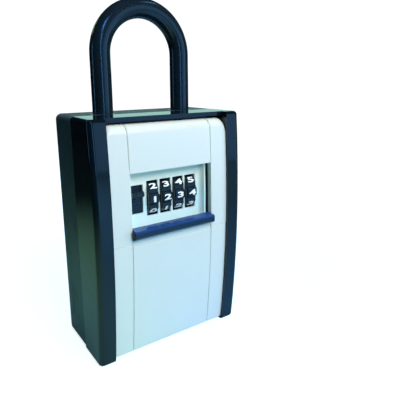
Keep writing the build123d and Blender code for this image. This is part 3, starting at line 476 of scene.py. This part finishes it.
def corners(cad_name, margin, first, second):
    """The four corner places of a CAD group, in from its box by a margin."""
    low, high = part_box(cad_name)
    return [(x, z) for x in (low[first] + margin, high[first] - margin)
            for z in (low[second] + margin, high[second] - margin)]


def pair(cad_name, margin, across):
    """The two places of a CAD group that lies along X."""
    low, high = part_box(cad_name)
    middle = (low[across] + high[across]) / 2
    return [(low.x + margin, middle), (high.x - margin, middle)]


X, Y, Z = range(3)
drive("cover_screws", "inner_cover_screws", "door", (0, -1, 0), corners("cover_screws", 0.0024, X, Z),
      head_r=0.0024, head_h=0.00045, shank_r=0.0012, recess=0.0005)
drive("chassis_screws", "lock_chassis_screws", "door", (0, -1, 0), corners("chassis_screws", 0.002, X, Z),
      head_r=0.002, head_h=0.0012, shank_r=0.001)
drive("block_screws", "shackle_guide_screws", "case", (0, 0, 1), pair("block_screws", 0.0024, Y),
      head_r=0.0024, head_h=0.0015, shank_r=0.00125)
drive("keeper_screws", "latch_keeper_screws", "case", (0, 0, 1), pair("keeper_screws", 0.0017, Y),
      head_r=0.0017, head_h=0.0008, shank_r=0.001, recess=0.0004)
drive("hook_rivets", "key_hook_rivets", "case", (0, 1, 0), pair("hook_rivets", 0.0019, Z),
      head_r=0.0019, head_h=0.0008, shank_r=0.001, recess=0.0004)

# ==== Silver panels of the door ==================================================================
# Three pieces of satin silver lacquered aluminium follow the arched face: a large upper panel that
# rolls back over the top and frames the dial window, and a strip on each side of the dial cover.
PANEL_SKIN = 0.003
TOP_ROLL = 0.005
CORNER_ROUND = 0.0033
GROOVE_HALF = 0.0003
GROOVE_DEPTH = 0.0007
PANEL_EDGE = 0.0003
WINDOW_RIM = 0.001
SIDE_GAP = 0.00015
SAME_PLACE = 1e-6

slide_joint = next(j for j in frame["joints"] if j["name"] == "dial_cover_slide")
arch = Vector(slide_joint["pos_m"])
cover_low, cover_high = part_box("cover_panel")
panel_low, panel_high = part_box("upper_panel")
arch_radius = math.hypot(arch.y - cover_low.y, arch.z - cover_high.z)
window_low, window_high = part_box("recess_plate")
window_top = window_high.z - WINDOW_RIM
window_half = cover_high.x + SIDE_GAP


def face_y(z, inset=0.0):
    """Depth of the arched face at a height."""
    return arch.y - math.sqrt((arch_radius - inset) ** 2 - (z - arch.z) ** 2)


def spaced(start, end, count):
    """Evenly spaced values with both ends."""
    return [start + (end - start) * step / count for step in range(count + 1)]


def rolled_profile(low, top, rear):
    """Points (y, z) up the arched face, round the rolled top edge and back to the rear edge."""
    centre_z = top - TOP_ROLL
    centre_y = arch.y - math.sqrt((arch_radius - TOP_ROLL) ** 2 - (centre_z - arch.z) ** 2)
    start = math.atan2(centre_z - arch.z, arch.y - centre_y)
    tangent_z = centre_z + TOP_ROLL * math.sin(start)
    points = [(face_y(z), z) for z in spaced(low, window_top, 12)]
    points += [(face_y(z), z) for z in spaced(window_top, tangent_z, 8)[1:]]
    for angle in spaced(start, math.pi / 2, 14)[1:]:
        points.append((centre_y - TOP_ROLL * math.cos(angle), centre_z + TOP_ROLL * math.sin(angle)))
    points += [(y, top) for y in spaced(centre_y, rear, 3)[1:]]
    return points


def skin(columns, rows_at, left_out=lambda x, z: False):
    """A grid of faces: rows_at(x) gives a column's points, left_out says where the skin is open."""
    bm = bmesh.new()
    grid = [[bm.verts.new((x, y, z)) for y, z in rows_at(x)] for x in columns]
    for left, right in zip(grid, grid[1:]):
        for row in range(len(left) - 1):
            middle = (left[row].co + right[row + 1].co) / 2
            if not left_out(middle.x, middle.z):
                bm.faces.new((left[row], right[row], right[row + 1], left[row + 1]))
    loose = [v for v in bm.verts if not v.link_faces]
    bmesh.ops.delete(bm, geom=loose, context="VERTS")
    return bm


def pressed(bm, name, thickness, edge, material, body, slot_name, *stands_for):
    """Gives a skin its sheet thickness inwards and rounds all its edges."""
    mesh = bpy.data.meshes.new(name + "_skin")
    bm.to_mesh(mesh)
    bm.free()
    host = bpy.data.objects.new(name + "_host", mesh)
    bpy.context.scene.collection.objects.link(host)
    sheet = host.modifiers.new("sheet", "SOLIDIFY")
    sheet.thickness = thickness
    sheet.offset = -1.0
    sheet.use_even_offset = True
    rounding = host.modifiers.new("rounding", "BEVEL")
    rounding.width = edge
    rounding.segments = 3
    rounding.limit_method = "ANGLE"
    rounding.angle_limit = radians(50.0)
    evaluated = host.evaluated_get(bpy.context.evaluated_depsgraph_get())
    finished = bmesh.new()
    finished.from_mesh(bpy.data.meshes.new_from_object(evaluated))
    bpy.data.objects.remove(host)
    return settle(finished, name, material, body, slot_name, *stands_for, smooth_below=38.0)


def upper_rows(x):
    """One column of the upper panel; its top falls away at the two corners, and the grooves dip."""
    past = max(0.0, abs(x) - (panel_high.x - CORNER_ROUND))
    fall = CORNER_ROUND - math.sqrt(CORNER_ROUND ** 2 - min(past, CORNER_ROUND) ** 2)
    points = rolled_profile(panel_low.z, panel_high.z - fall, panel_high.y)
    if abs(abs(x) - window_half) < SAME_PLACE:
        inner = rolled_profile(panel_low.z, panel_high.z - GROOVE_DEPTH, panel_high.y)
        points = [plain if plain[1] <= window_top + SAME_PLACE else (sunk[0] + GROOVE_DEPTH, sunk[1])
                  for plain, sunk in zip(points, inner)]
    return points


def both_sides(values):
    """The values and their mirror images, in order."""
    return sorted({round(v, 7) for v in values} | {round(-v, 7) for v in values})


corner_columns = [panel_high.x - CORNER_ROUND * (1 - math.sin(a)) for a in spaced(0.0, math.pi / 2, 8)]
upper_columns = both_sides(
    spaced(0.0, window_half - GROOVE_HALF, 10)
    + [window_half, window_half + GROOVE_HALF]
    + spaced(window_half + GROOVE_HALF, panel_high.x - CORNER_ROUND, 4)
    + corner_columns
)
silver = coat("satin_silver_lacquer", (0.815, 0.835, 0.760), (0.765, 0.790, 0.725), 0.28, 0.36, grain=5200.0,
              depth=0.000004, patches=18.0, metallic=0.15, speckle=0.45)
upper_skin = skin(upper_columns, upper_rows,
                  lambda x, z: abs(x) < window_half and z < window_top)
pressed(upper_skin, "silver_upper_panel", PANEL_SKIN, PANEL_EDGE, silver, "door", "silver", "upper_panel")


def arched_rows(low, high, count):
    """Points of a plain piece of the arched face."""
    return [(face_y(z), z) for z in spaced(low, high, count)]


for cad_name in ("lower_strip_left", "lower_strip_right"):
    strip_low, strip_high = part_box(cad_name)
    strip = skin(spaced(strip_low.x, strip_high.x, 6),
                 lambda x: arched_rows(strip_low.z, strip_high.z, 24))
    pressed(strip, "silver_" + cad_name, PANEL_SKIN, PANEL_EDGE, silver, "door", "silver", cad_name)

# ==== Window recess ==============================================================================
# A silver-grey plastic moulding behind the window, with a slot for each dial and one for the
# release button. Its right wall sweeps round in a wide curve. Its colour carries painted light and
# shade: painted cool light at the foot and painted greenish shade under the upper edge.
FOOT_PAINTED_LIGHT = (0.84, 1.02, 1.07)
BROW_PAINTED_SHADE = (0.96, 0.93, 0.84)
FOOT_SHARE = 0.35
BROW_SHARE = 0.2
recess_grey = coat("silver_grey_plastic", (0.88, 0.96, 0.92), (0.83, 0.92, 0.88), 0.28, 0.36, grain=3800.0,
                   depth=0.000005, patches=30.0)


def shade_upwards(material, low, high, colour_low, colour_high):
    """Painted light and shade: a coat's base colour times one tint below a height, another above."""
    tree = material.node_tree
    base = tree.nodes["Principled BSDF"].inputs["Base Color"]
    place = add_node(tree, "ShaderNodeTexCoord").outputs["Object"]
    height = add_node(tree, "ShaderNodeSeparateXYZ", {"Vector": place}).outputs["Z"]
    share = add_node(tree, "ShaderNodeMapRange", {"Value": height, "From Min": low, "From Max": high},
                     interpolation_type="SMOOTHSTEP").outputs[0]
    tint = add_node(tree, "ShaderNodeMix",
                    {"Factor": share, "A": (*colour_low, 1.0), "B": (*colour_high, 1.0)},
                    data_type="RGBA").outputs["Result"]
    plain = base.links[0].from_socket
    tinted = add_node(tree, "ShaderNodeMix", {"Factor": 1.0, "A": plain, "B": tint}, data_type="RGBA",
                      blend_type="MULTIPLY").outputs["Result"]
    tree.links.new(tinted, base)


recess_rise = window_high.z - window_low.z
# Painted light and shade: the foot of the recess is tinted cooler, the part under the upper edge darker and
# greener.
shade_upwards(recess_grey, window_low.z + FOOT_SHARE * recess_rise, window_high.z - BROW_SHARE * recess_rise,
              FOOT_PAINTED_LIGHT, BROW_PAINTED_SHADE)
softened("recess_plate", "window_recess", FINE_EDGE, recess_grey, "door", "silver_plastic")

# ==== Lock chassis, spindle and springs ==========================================================
# A zinc frame behind the recess holds the steel spindle with a ring clip at each end, a leaf
# spring that clicks the dials, and the coil spring that brings the latch back.
COIL_WIRE = 0.00025
dress(cast_zinc, "lock_chassis")
dress(zinc_plate, "dial_spindle")
dress(spring_steel, "spindle_clips", "detent_spring")


def build_coil():
    """A helical wire spring that stands on the origin."""
    tree, given, out = new_group(
        "wire_coil", "GeometryNodeTree",
        {"Geometry": ("NodeSocketGeometry", None), "Coil Radius": ("NodeSocketFloat", 0.0012),
         "Wire Radius": ("NodeSocketFloat", 0.00025), "Height": ("NodeSocketFloat", 0.007),
         "Turns": ("NodeSocketFloat", 5.5), "Material": ("NodeSocketMaterial", None)},
        {"Geometry": ("NodeSocketGeometry", None)},
    )
    spiral = add_node(tree, "GeometryNodeCurveSpiral",
                      {"Resolution": 28, "Rotations": given.outputs["Turns"],
                       "Start Radius": given.outputs["Coil Radius"],
                       "End Radius": given.outputs["Coil Radius"], "Height": given.outputs["Height"]})
    wire = add_node(tree, "GeometryNodeCurvePrimitiveCircle", {"Resolution": 12})
    tree.links.new(given.outputs["Wire Radius"], wire.inputs["Radius"])
    tube = add_node(tree, "GeometryNodeCurveToMesh",
                    {"Curve": spiral.outputs[0], "Profile Curve": wire.outputs[0], "Fill Caps": True})
    real = add_node(tree, "GeometryNodeRealizeInstances", {"Geometry": tube.outputs[0]})
    painted = add_node(tree, "GeometryNodeSetMaterial",
                       {"Geometry": real.outputs[0], "Material": given.outputs["Material"]})
    tree.links.new(painted.outputs[0], out.inputs["Geometry"])
    return tree


spring_low, spring_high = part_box("latch_spring")
spring_middle = (spring_low + spring_high) / 2
coil = grown(bpy.data.meshes.new("spring_seat"), build_coil(), {
    "Coil Radius": (spring_high.x - spring_low.x) / 2 - COIL_WIRE, "Wire Radius": COIL_WIRE,
    "Height": spring_high.z - spring_low.z - 2 * COIL_WIRE, "Material": spring_steel})
bmesh.ops.translate(coil, verts=coil.verts, vec=(spring_middle.x, spring_middle.y, spring_low.z + COIL_WIRE))
bmesh.ops.recalc_face_normals(coil, faces=coil.faces)
settle(coil, "latch_return_spring", spring_steel, "door", "spring_steel", "latch_spring")

# ==== Number dials ===============================================================================
# Four black moulded wheels with ten finger scallops. The digits are pad printed in white on the
# lands between the scallops, and a brass code cam sits in the middle of each wheel.
SCALLOPS = 10
WHEEL_STEPS = 240
SCALLOP_RADIUS = 0.0022
SCALLOP_OUT = 0.0014
LIP_SOFTNESS = 0.00012
DIGIT_TALL = 0.0030
DIGIT_STRETCH = 1.95
DIGIT_BOLD = 0.032
PRINT_THICK = 0.00006
FONT_CAP = 0.73
DIGIT_STRIPS = 12
FLANK = 0.002
RIM_STEPS = ((0.0, 0.0014), (0.0, 0.0005), (0.00012, 0.0002), (0.0005, 0.0))
dial_black = coat("dial_black_plastic", (0.008, 0.014, 0.022), (0.004, 0.008, 0.013), 0.16, 0.26,
                  grain=2600.0, depth=0.000005)
print_white = coat("white_pad_print", (0.93, 0.95, 0.96), (0.86, 0.89, 0.91), 0.38, 0.48, grain=6000.0,
                   depth=0.000003)
brass = plating("turned_brass", (0.76, 0.56, 0.27), (0.60, 0.42, 0.18), 0.22, 0.34)


def wheel_radius(angle, rim):
    """Outline of a scalloped wheel; angle 0 is the middle of a digit's land."""
    pitch = 2 * math.pi / SCALLOPS
    off = (angle - pitch / 2) % pitch
    off = min(off, pitch - off)
    centre = rim + SCALLOP_OUT
    reach = SCALLOP_RADIUS ** 2 - (centre * math.sin(off)) ** 2
    if reach <= 0:
        return rim
    scallop = centre * math.cos(off) - math.sqrt(reach)
    gap = rim - scallop
    return rim - (gap + math.sqrt(gap ** 2 + LIP_SOFTNESS ** 2)) / 2 + LIP_SOFTNESS / 2


def scalloped_wheel(low, high, bore):
    """A closed ring about an axis along X with rounded rims."""
    rim = (high.z - low.z) / 2
    middle = (low + high) / 2
    across = [(low.x, bore)] + [(low.x + inset, rim - drop) for inset, drop in RIM_STEPS]
    across += [(low.x + high.x - x, r) for x, r in reversed(across)]
    bm = bmesh.new()
    rings = []
    for step in range(WHEEL_STEPS):
        angle = 2 * math.pi * step / WHEEL_STEPS
        outline = wheel_radius(angle, rim)
        ring = []
        for x, r in across:
            inwards = rim - r
            reach = r if inwards > FLANK else outline - inwards
            ring.append(bm.verts.new((x, middle.y - reach * math.cos(angle),
                                      middle.z + reach * math.sin(angle))))
        rings.append(ring)
    for index, ring in enumerate(rings):
        after = rings[(index + 1) % WHEEL_STEPS]
        for place in range(len(across)):
            onward = (place + 1) % len(across)
            bm.faces.new((ring[place], after[place], after[onward], ring[onward]))
    bmesh.ops.recalc_face_normals(bm, faces=bm.faces)
    return bm


def digit_print(digit):
    """A digit as a thin flat print, cut into short strips so that it can wrap round a wheel."""
    text = bpy.data.curves.new("digit", "FONT")
    text.body = str(digit)
    text.size = DIGIT_TALL / FONT_CAP
    text.offset = DIGIT_BOLD * text.size
    text.extrude = PRINT_THICK / 2
    text.resolution_u = 6
    text.align_x = "CENTER"
    holder = bpy.data.objects.new("digit", text)
    bpy.context.scene.collection.objects.link(holder)
    flat = bmesh.new()
    evaluated = holder.evaluated_get(bpy.context.evaluated_depsgraph_get())
    flat.from_mesh(bpy.data.meshes.new_from_object(evaluated))
    bpy.data.objects.remove(holder)
    low = Vector(map(min, zip(*(v.co for v in flat.verts))))
    high = Vector(map(max, zip(*(v.co for v in flat.verts))))
    bmesh.ops.translate(flat, verts=flat.verts, vec=-(low + high) / 2)
    bmesh.ops.scale(flat, verts=flat.verts, vec=(DIGIT_STRETCH, DIGIT_TALL / (high.y - low.y), 1.0))
    bmesh.ops.remove_doubles(flat, verts=flat.verts, dist=1e-7)
    for height in spaced(-DIGIT_TALL / 2, DIGIT_TALL / 2, DIGIT_STRIPS)[1:-1]:
        bmesh.ops.bisect_plane(flat, geom=flat.verts[:] + flat.edges[:] + flat.faces[:],
                               plane_co=(0, height, 0), plane_no=(0, 1, 0))
    return flat


prints = [digit_print(digit) for digit in range(SCALLOPS)]
for number in range(1, 5):
    low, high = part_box(f"dial_wheel_{number}")
    middle = (low + high) / 2
    rim = (high.z - low.z) / 2
    cam_low, cam_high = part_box(f"code_cam_{number}")
    bore = (cam_high.z - cam_low.z) / 2
    body = f"dial_{number}"
    settle(scalloped_wheel(low, high, bore), f"number_dial_{number}", dial_black, body, "dial_black",
           f"dial_wheel_{number}")
    dress(brass, f"code_cam_{number}")
    digits = bmesh.new()
    for digit, flat in enumerate(prints):
        place = 2 * math.pi * (digit - number) / SCALLOPS
        wrapped = {}
        for v in flat.verts:
            angle = place + v.co.y / rim
            reach = rim + v.co.z + PRINT_THICK / 4
            wrapped[v] = digits.verts.new((middle.x + v.co.x, middle.y - reach * math.cos(angle),
                                           middle.z + reach * math.sin(angle)))
        for face in flat.faces:
            digits.faces.new([wrapped[v] for v in face.verts])
    bmesh.ops.recalc_face_normals(digits, faces=digits.faces)
    settle(digits, f"dial_digits_{number}", print_white, body, "dial_black")

# ==== Release button and latch bar ===============================================================
# A ribbed black thumb slide left of the dials, on a steel latch bar with two hooks that catch the
# keeper under the top wall.
RIB_EDGE = 0.00018
softened("release_button", "thumb_slide", RIB_EDGE, satin_black, "latch", "black_plastic")
softened("latch_bar", "latch_plate", FINE_EDGE, zinc_plate, "latch", "steel")
softened("latch_hooks", "latch_hook_pair", FINE_EDGE, zinc_plate, "latch", "steel")

# ==== Dial cover =================================================================================
# A silver lacquered shutter that slides up over the dials in the arched track. A black moulded
# ledge along its top is the grip, its upper lip painted bluer as a painted reflection of light from
# above, and a thin black slide behind it runs in the guides.
COVER_SKIN = 0.0016
COVER_STEP_Z = 0.0585
COVER_STEP = 0.00022
LIP_DOWN_TO = 0.0016
LIP_FULL_FROM = 0.0005
LEDGE_TINT = (0.8, 0.8, 0.7)
LIP_PAINTED_REFLECTION = (1.2, 2.1, 3.2)


def cover_rows(x):
    """One column of the shutter: a shallow step runs across it a little under the ledge."""
    points = arched_rows(cover_low.z, COVER_STEP_Z, 24)
    step = COVER_STEP_Z + COVER_STEP
    points += [(face_y(z, COVER_STEP), z) for z in spaced(step, cover_high.z, 4)]
    return points


shutter = skin(spaced(cover_low.x, cover_high.x, 16), cover_rows)
pressed(shutter, "silver_dial_shutter", COVER_SKIN, PANEL_EDGE, silver, "dial_cover", "silver", "cover_panel")
ledge_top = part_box("cover_ledge")[1].z
# Painted reflection: the ledge's upper lip is tinted bluer, as if it mirrored blue light from above, and the
# rest of it a little darker.
shade_upwards(blue_black, ledge_top - LIP_DOWN_TO, ledge_top - LIP_FULL_FROM, LEDGE_TINT, LIP_PAINTED_REFLECTION)
softened("cover_ledge", "grip_ledge", SOFT_EDGE, blue_black, "dial_cover", "black_plastic", segments=3,
         sharper_than=15.0)
dress(satin_black, "cover_slide")

# ==== Inner cover and code lever =================================================================
# A grey moulded plate closes the back of the door round the lock. A red lever turns on a short
# shaft in it to free the dials for a new code, and a raised cap covers the wheels.
softened("inner_cover", "door_inner_cover", FINE_EDGE, liner_grey, "door", "tray_grey")
softened("lock_cap", "lock_wheel_cap", SOFT_EDGE, liner_grey, "door", "tray_grey")
softened("reset_lever", "code_change_lever", SOFT_EDGE, tab_red, "reset_lever", "lever_red")

# ==== Studio =====================================================================================
# A round table under wide soft boxes, in a dim room. The camera sees both as plain white. For
# bounced and mirrored rays the table is painted with light: painted green light near the object,
# painted blue light to the front right and painted dark further off, with a faint blue window in
# front; Light Path tells these rays from the camera's own.
TABLE_RADIUS = 0.80
TABLE_GAP = 0.0001
LIT_FADE = (0.08, 0.34)
BLUE_FROM = (-0.09, 0.02)
DEEP_BLUE_FROM = (0.06, 0.20)
TABLE_PAINTED_BLUE_LIGHT = (0.20, 0.58, 1.0, 1.0)
TABLE_PAINTED_DEEP_BLUE_LIGHT = (0.10, 0.26, 0.38, 1.0)
TABLE_UNLIT = (0.01, 0.02, 0.02, 1.0)
WHITE = (1.0, 1.0, 1.0, 1.0)
TABLE_GLOW = (1.02, 0.84)
ROOM_SEEN = 1.05
ROOM_DIM = (0.030, 0.045, 0.060, 1.0)
WINDOW_WAY = (0.52, -0.85, 0.04)
WINDOW_SPAN = (0.88, 1.0)
WINDOW_PEAK = 0.9
WINDOW_DARK = (0.004, 0.006, 0.010, 1.0)
WINDOW_BLUE = (0.36, 0.84, 1.6, 1.0)
object_low, object_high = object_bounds()
middle = (object_low + object_high) / 2


def ramp(tree, value, span, ends=(0.0, 1.0), **settings):
    """A value mapped from a span to a pair of ends, held beyond them."""
    return add_node(tree, "ShaderNodeMapRange",
                    {"Value": value, "From Min": span[0], "From Max": span[1], "To Min": ends[0],
                     "To Max": ends[1]}, **settings).outputs[0]


def between(tree, share, first, second):
    """A colour between two."""
    return add_node(tree, "ShaderNodeMix", {"Factor": share, "A": first, "B": second},
                    data_type="RGBA").outputs["Result"]


table_top = bmesh.new()
bmesh.ops.create_circle(table_top, cap_ends=True, segments=96, radius=TABLE_RADIUS)
table_mesh = bpy.data.meshes.new("table")
table_top.to_mesh(table_mesh)
table_top.free()
table_painted_light = coat("painted_light_table", (0.40, 0.84, 0.56), (0.37, 0.79, 0.52), 0.8, 0.9, grain=900.0,
                   depth=0.00002)
table_tree = table_painted_light.node_tree
table_shader = table_tree.nodes["Principled BSDF"]
table_place = table_tree.nodes["Texture Coordinate"].outputs["Object"]
off_centre = add_node(table_tree, "ShaderNodeVectorMath", {0: table_place},
                      operation="LENGTH").outputs["Value"]
# Painted light on the table: a pool of painted light near the object that fades to dark, and painted blue
# light to the front right.
near = ramp(table_tree, off_centre, LIT_FADE, (1.0, 0.0), interpolation_type="SMOOTHSTEP")
side_way = add_node(table_tree, "ShaderNodeSeparateXYZ", {0: table_place}).outputs["X"]
front_right = ramp(table_tree, side_way, BLUE_FROM)
lit_share = add_node(table_tree, "ShaderNodeMath", {0: near, 1: front_right}, operation="MAXIMUM").outputs[0]
table_tone = table_shader.inputs["Base Color"].links[0].from_socket
blue_light = between(table_tree, ramp(table_tree, side_way, DEEP_BLUE_FROM), TABLE_PAINTED_BLUE_LIGHT, TABLE_PAINTED_DEEP_BLUE_LIGHT)
cool = between(table_tree, front_right, table_tone, blue_light)
faded = between(table_tree, lit_share, TABLE_UNLIT, cool)
table_tree.links.new(faded, table_shader.inputs["Base Color"])
seen_white = add_node(table_tree, "ShaderNodeEmission",
                      {"Color": WHITE, "Strength": ramp(table_tree, near, (0.0, 1.0), TABLE_GLOW)})
camera_ray = add_node(table_tree, "ShaderNodeLightPath").outputs["Is Camera Ray"]
table_glow = add_node(table_tree, "ShaderNodeMixShader", {0: camera_ray, 2: seen_white.outputs[0]})
table_look = add_node(table_tree, "ShaderNodeAddShader",
                      {0: table_shader.outputs[0], 1: table_glow.outputs[0]})
table_tree.links.new(table_look.outputs[0], table_tree.nodes["Material Output"].inputs["Surface"])
table_mesh.materials.append(table_painted_light)
table = bpy.data.objects.new("table", table_mesh)
table.location = (middle.x, middle.y, object_low.z - TABLE_GAP)
bpy.context.scene.collection.objects.link(table)

room = bpy.data.worlds.new("room")
room.use_nodes = True
bpy.context.scene.world = room
room_tree = room.node_tree
room_tree.nodes.clear()
facing = add_node(room_tree, "ShaderNodeTexCoord").outputs["Generated"]
towards_window = add_node(room_tree, "ShaderNodeVectorMath", {0: facing, 1: WINDOW_WAY},
                          operation="DOT_PRODUCT").outputs["Value"]
window_share = ramp(room_tree, towards_window, WINDOW_SPAN, (0.0, WINDOW_PEAK),
                    interpolation_type="SMOOTHSTEP")
window_colour = between(room_tree, window_share, WINDOW_DARK, WINDOW_BLUE)
seen, dim, window = (
    add_node(room_tree, "ShaderNodeBackground", {"Color": colour, "Strength": strength}).outputs[0]
    for colour, strength in ((WHITE, ROOM_SEEN), (ROOM_DIM, 1.0), (window_colour, 1.0)))
ray = add_node(room_tree, "ShaderNodeLightPath")
lit = add_node(room_tree, "ShaderNodeMixShader", {0: ray.outputs["Is Glossy Ray"], 1: dim, 2: window})
either = add_node(room_tree, "ShaderNodeMixShader",
                  {0: ray.outputs["Is Camera Ray"], 1: lit.outputs[0], 2: seen})
add_node(room_tree, "ShaderNodeOutputWorld", {"Surface": either.outputs[0]})


def soft_box(name, azimuth, elevation, distance, width, height, watts, colour, rays, lean=0.0):
    """An area light aimed at the middle of the object, out of the camera's sight."""
    data = bpy.data.lights.new(name, "AREA")
    data.shape = "RECTANGLE"
    data.size = width
    data.size_y = height
    data.energy = watts
    data.color = colour
    light = bpy.data.objects.new(name, data)
    a, e = radians(azimuth), radians(elevation)
    away = Vector((math.sin(a) * math.cos(e), -math.cos(a) * math.cos(e), math.sin(e)))
    light.location = middle + away * distance
    light.rotation_euler = away.to_track_quat("Z", "Y").to_euler()
    if lean:
        light.rotation_euler.rotate_axis("Z", radians(lean))
    light.visible_camera = False
    light.visible_glossy = rays != "matt"
    light.visible_diffuse = rays != "mirrored"
    bpy.context.scene.collection.objects.link(light)


# Name, azimuth, elevation, distance, width, height, watts, colour, the rays it is for, lean.
for lamp in (
    ("front_box", 10, 39, 0.75, 0.55, 0.35, 5.3, (0.95, 0.97, 1.0), "matt"),
    ("right_box", 58, 10, 0.75, 0.30, 0.50, 1.7, (0.86, 0.96, 1.0), "matt"),
    ("low_front_box", 35, -4, 0.80, 0.60, 0.45, 0.9, (0.36, 0.66, 1.0), "matt"),
    ("arch_strip", -32, 44, 0.70, 0.12, 0.16, 0.7, (0.08, 0.34, 1.0), "mirrored"),
    ("overhead_box", 0, 84, 0.60, 0.40, 0.40, 1.6, (0.80, 0.92, 1.0), "matt"),
    ("rear_box", 145, 14, 0.70, 0.60, 0.22, 0.36, (0.56, 1.0, 0.90), "both"),
    ("back_fill", 172, 26, 0.75, 0.60, 0.40, 0.50, (0.80, 0.96, 1.0), "matt"),
    ("right_strip", 50, 2, 0.70, 0.07, 0.42, 0.27, (0.22, 0.58, 1.0), "mirrored"),
    ("left_strip", -113, 4, 0.70, 0.06, 0.42, 0.32, (0.16, 0.52, 1.0), "mirrored"),
    ("slanting_strip", -17, 17, 0.70, 0.05, 0.76, 1.1, (0.10, 0.44, 1.0), "mirrored", 26),
    ("high_right_strip", 67, 56, 0.70, 0.34, 0.05, 0.22, (0.25, 0.58, 1.0), "mirrored"),
    ("back_left_strip", -167, 28, 0.70, 0.40, 0.04, 0.16, (0.70, 1.0, 0.95), "mirrored"),
):
    soft_box(*lamp)

# ==== Camera =====================================================================================
# It stands in front and to the left, a little above the dials, and looks slightly down.
VIEW_AZIMUTH = -35.08
VIEW_ELEVATION = 12.63
VIEW_ROLL = -0.30
CAMERA_PLACE = (-0.1065, -0.19275, 0.1369)
LENS = 38.2
SENSOR = 36.0
SHIFT = (0.0105, -0.067)
a, e = radians(VIEW_AZIMUTH), radians(VIEW_ELEVATION)
forwards = Vector((-math.sin(a) * math.cos(e), math.cos(a) * math.cos(e), -math.sin(e)))
camera = bpy.data.objects.new("camera", bpy.data.cameras.new("camera"))
bpy.context.scene.collection.objects.link(camera)
bpy.context.scene.camera = camera
camera.data.sensor_width = SENSOR
camera.data.lens = LENS
camera.data.shift_x, camera.data.shift_y = SHIFT
camera.data.clip_start = 0.005
aim = forwards.to_track_quat("-Z", "Y").to_matrix().to_4x4()
roll = Matrix.Rotation(radians(VIEW_ROLL), 4, "Z")
camera.matrix_world = Matrix.Translation(CAMERA_PLACE) @ aim @ roll
bpy.context.scene.view_settings.view_transform = "Standard"
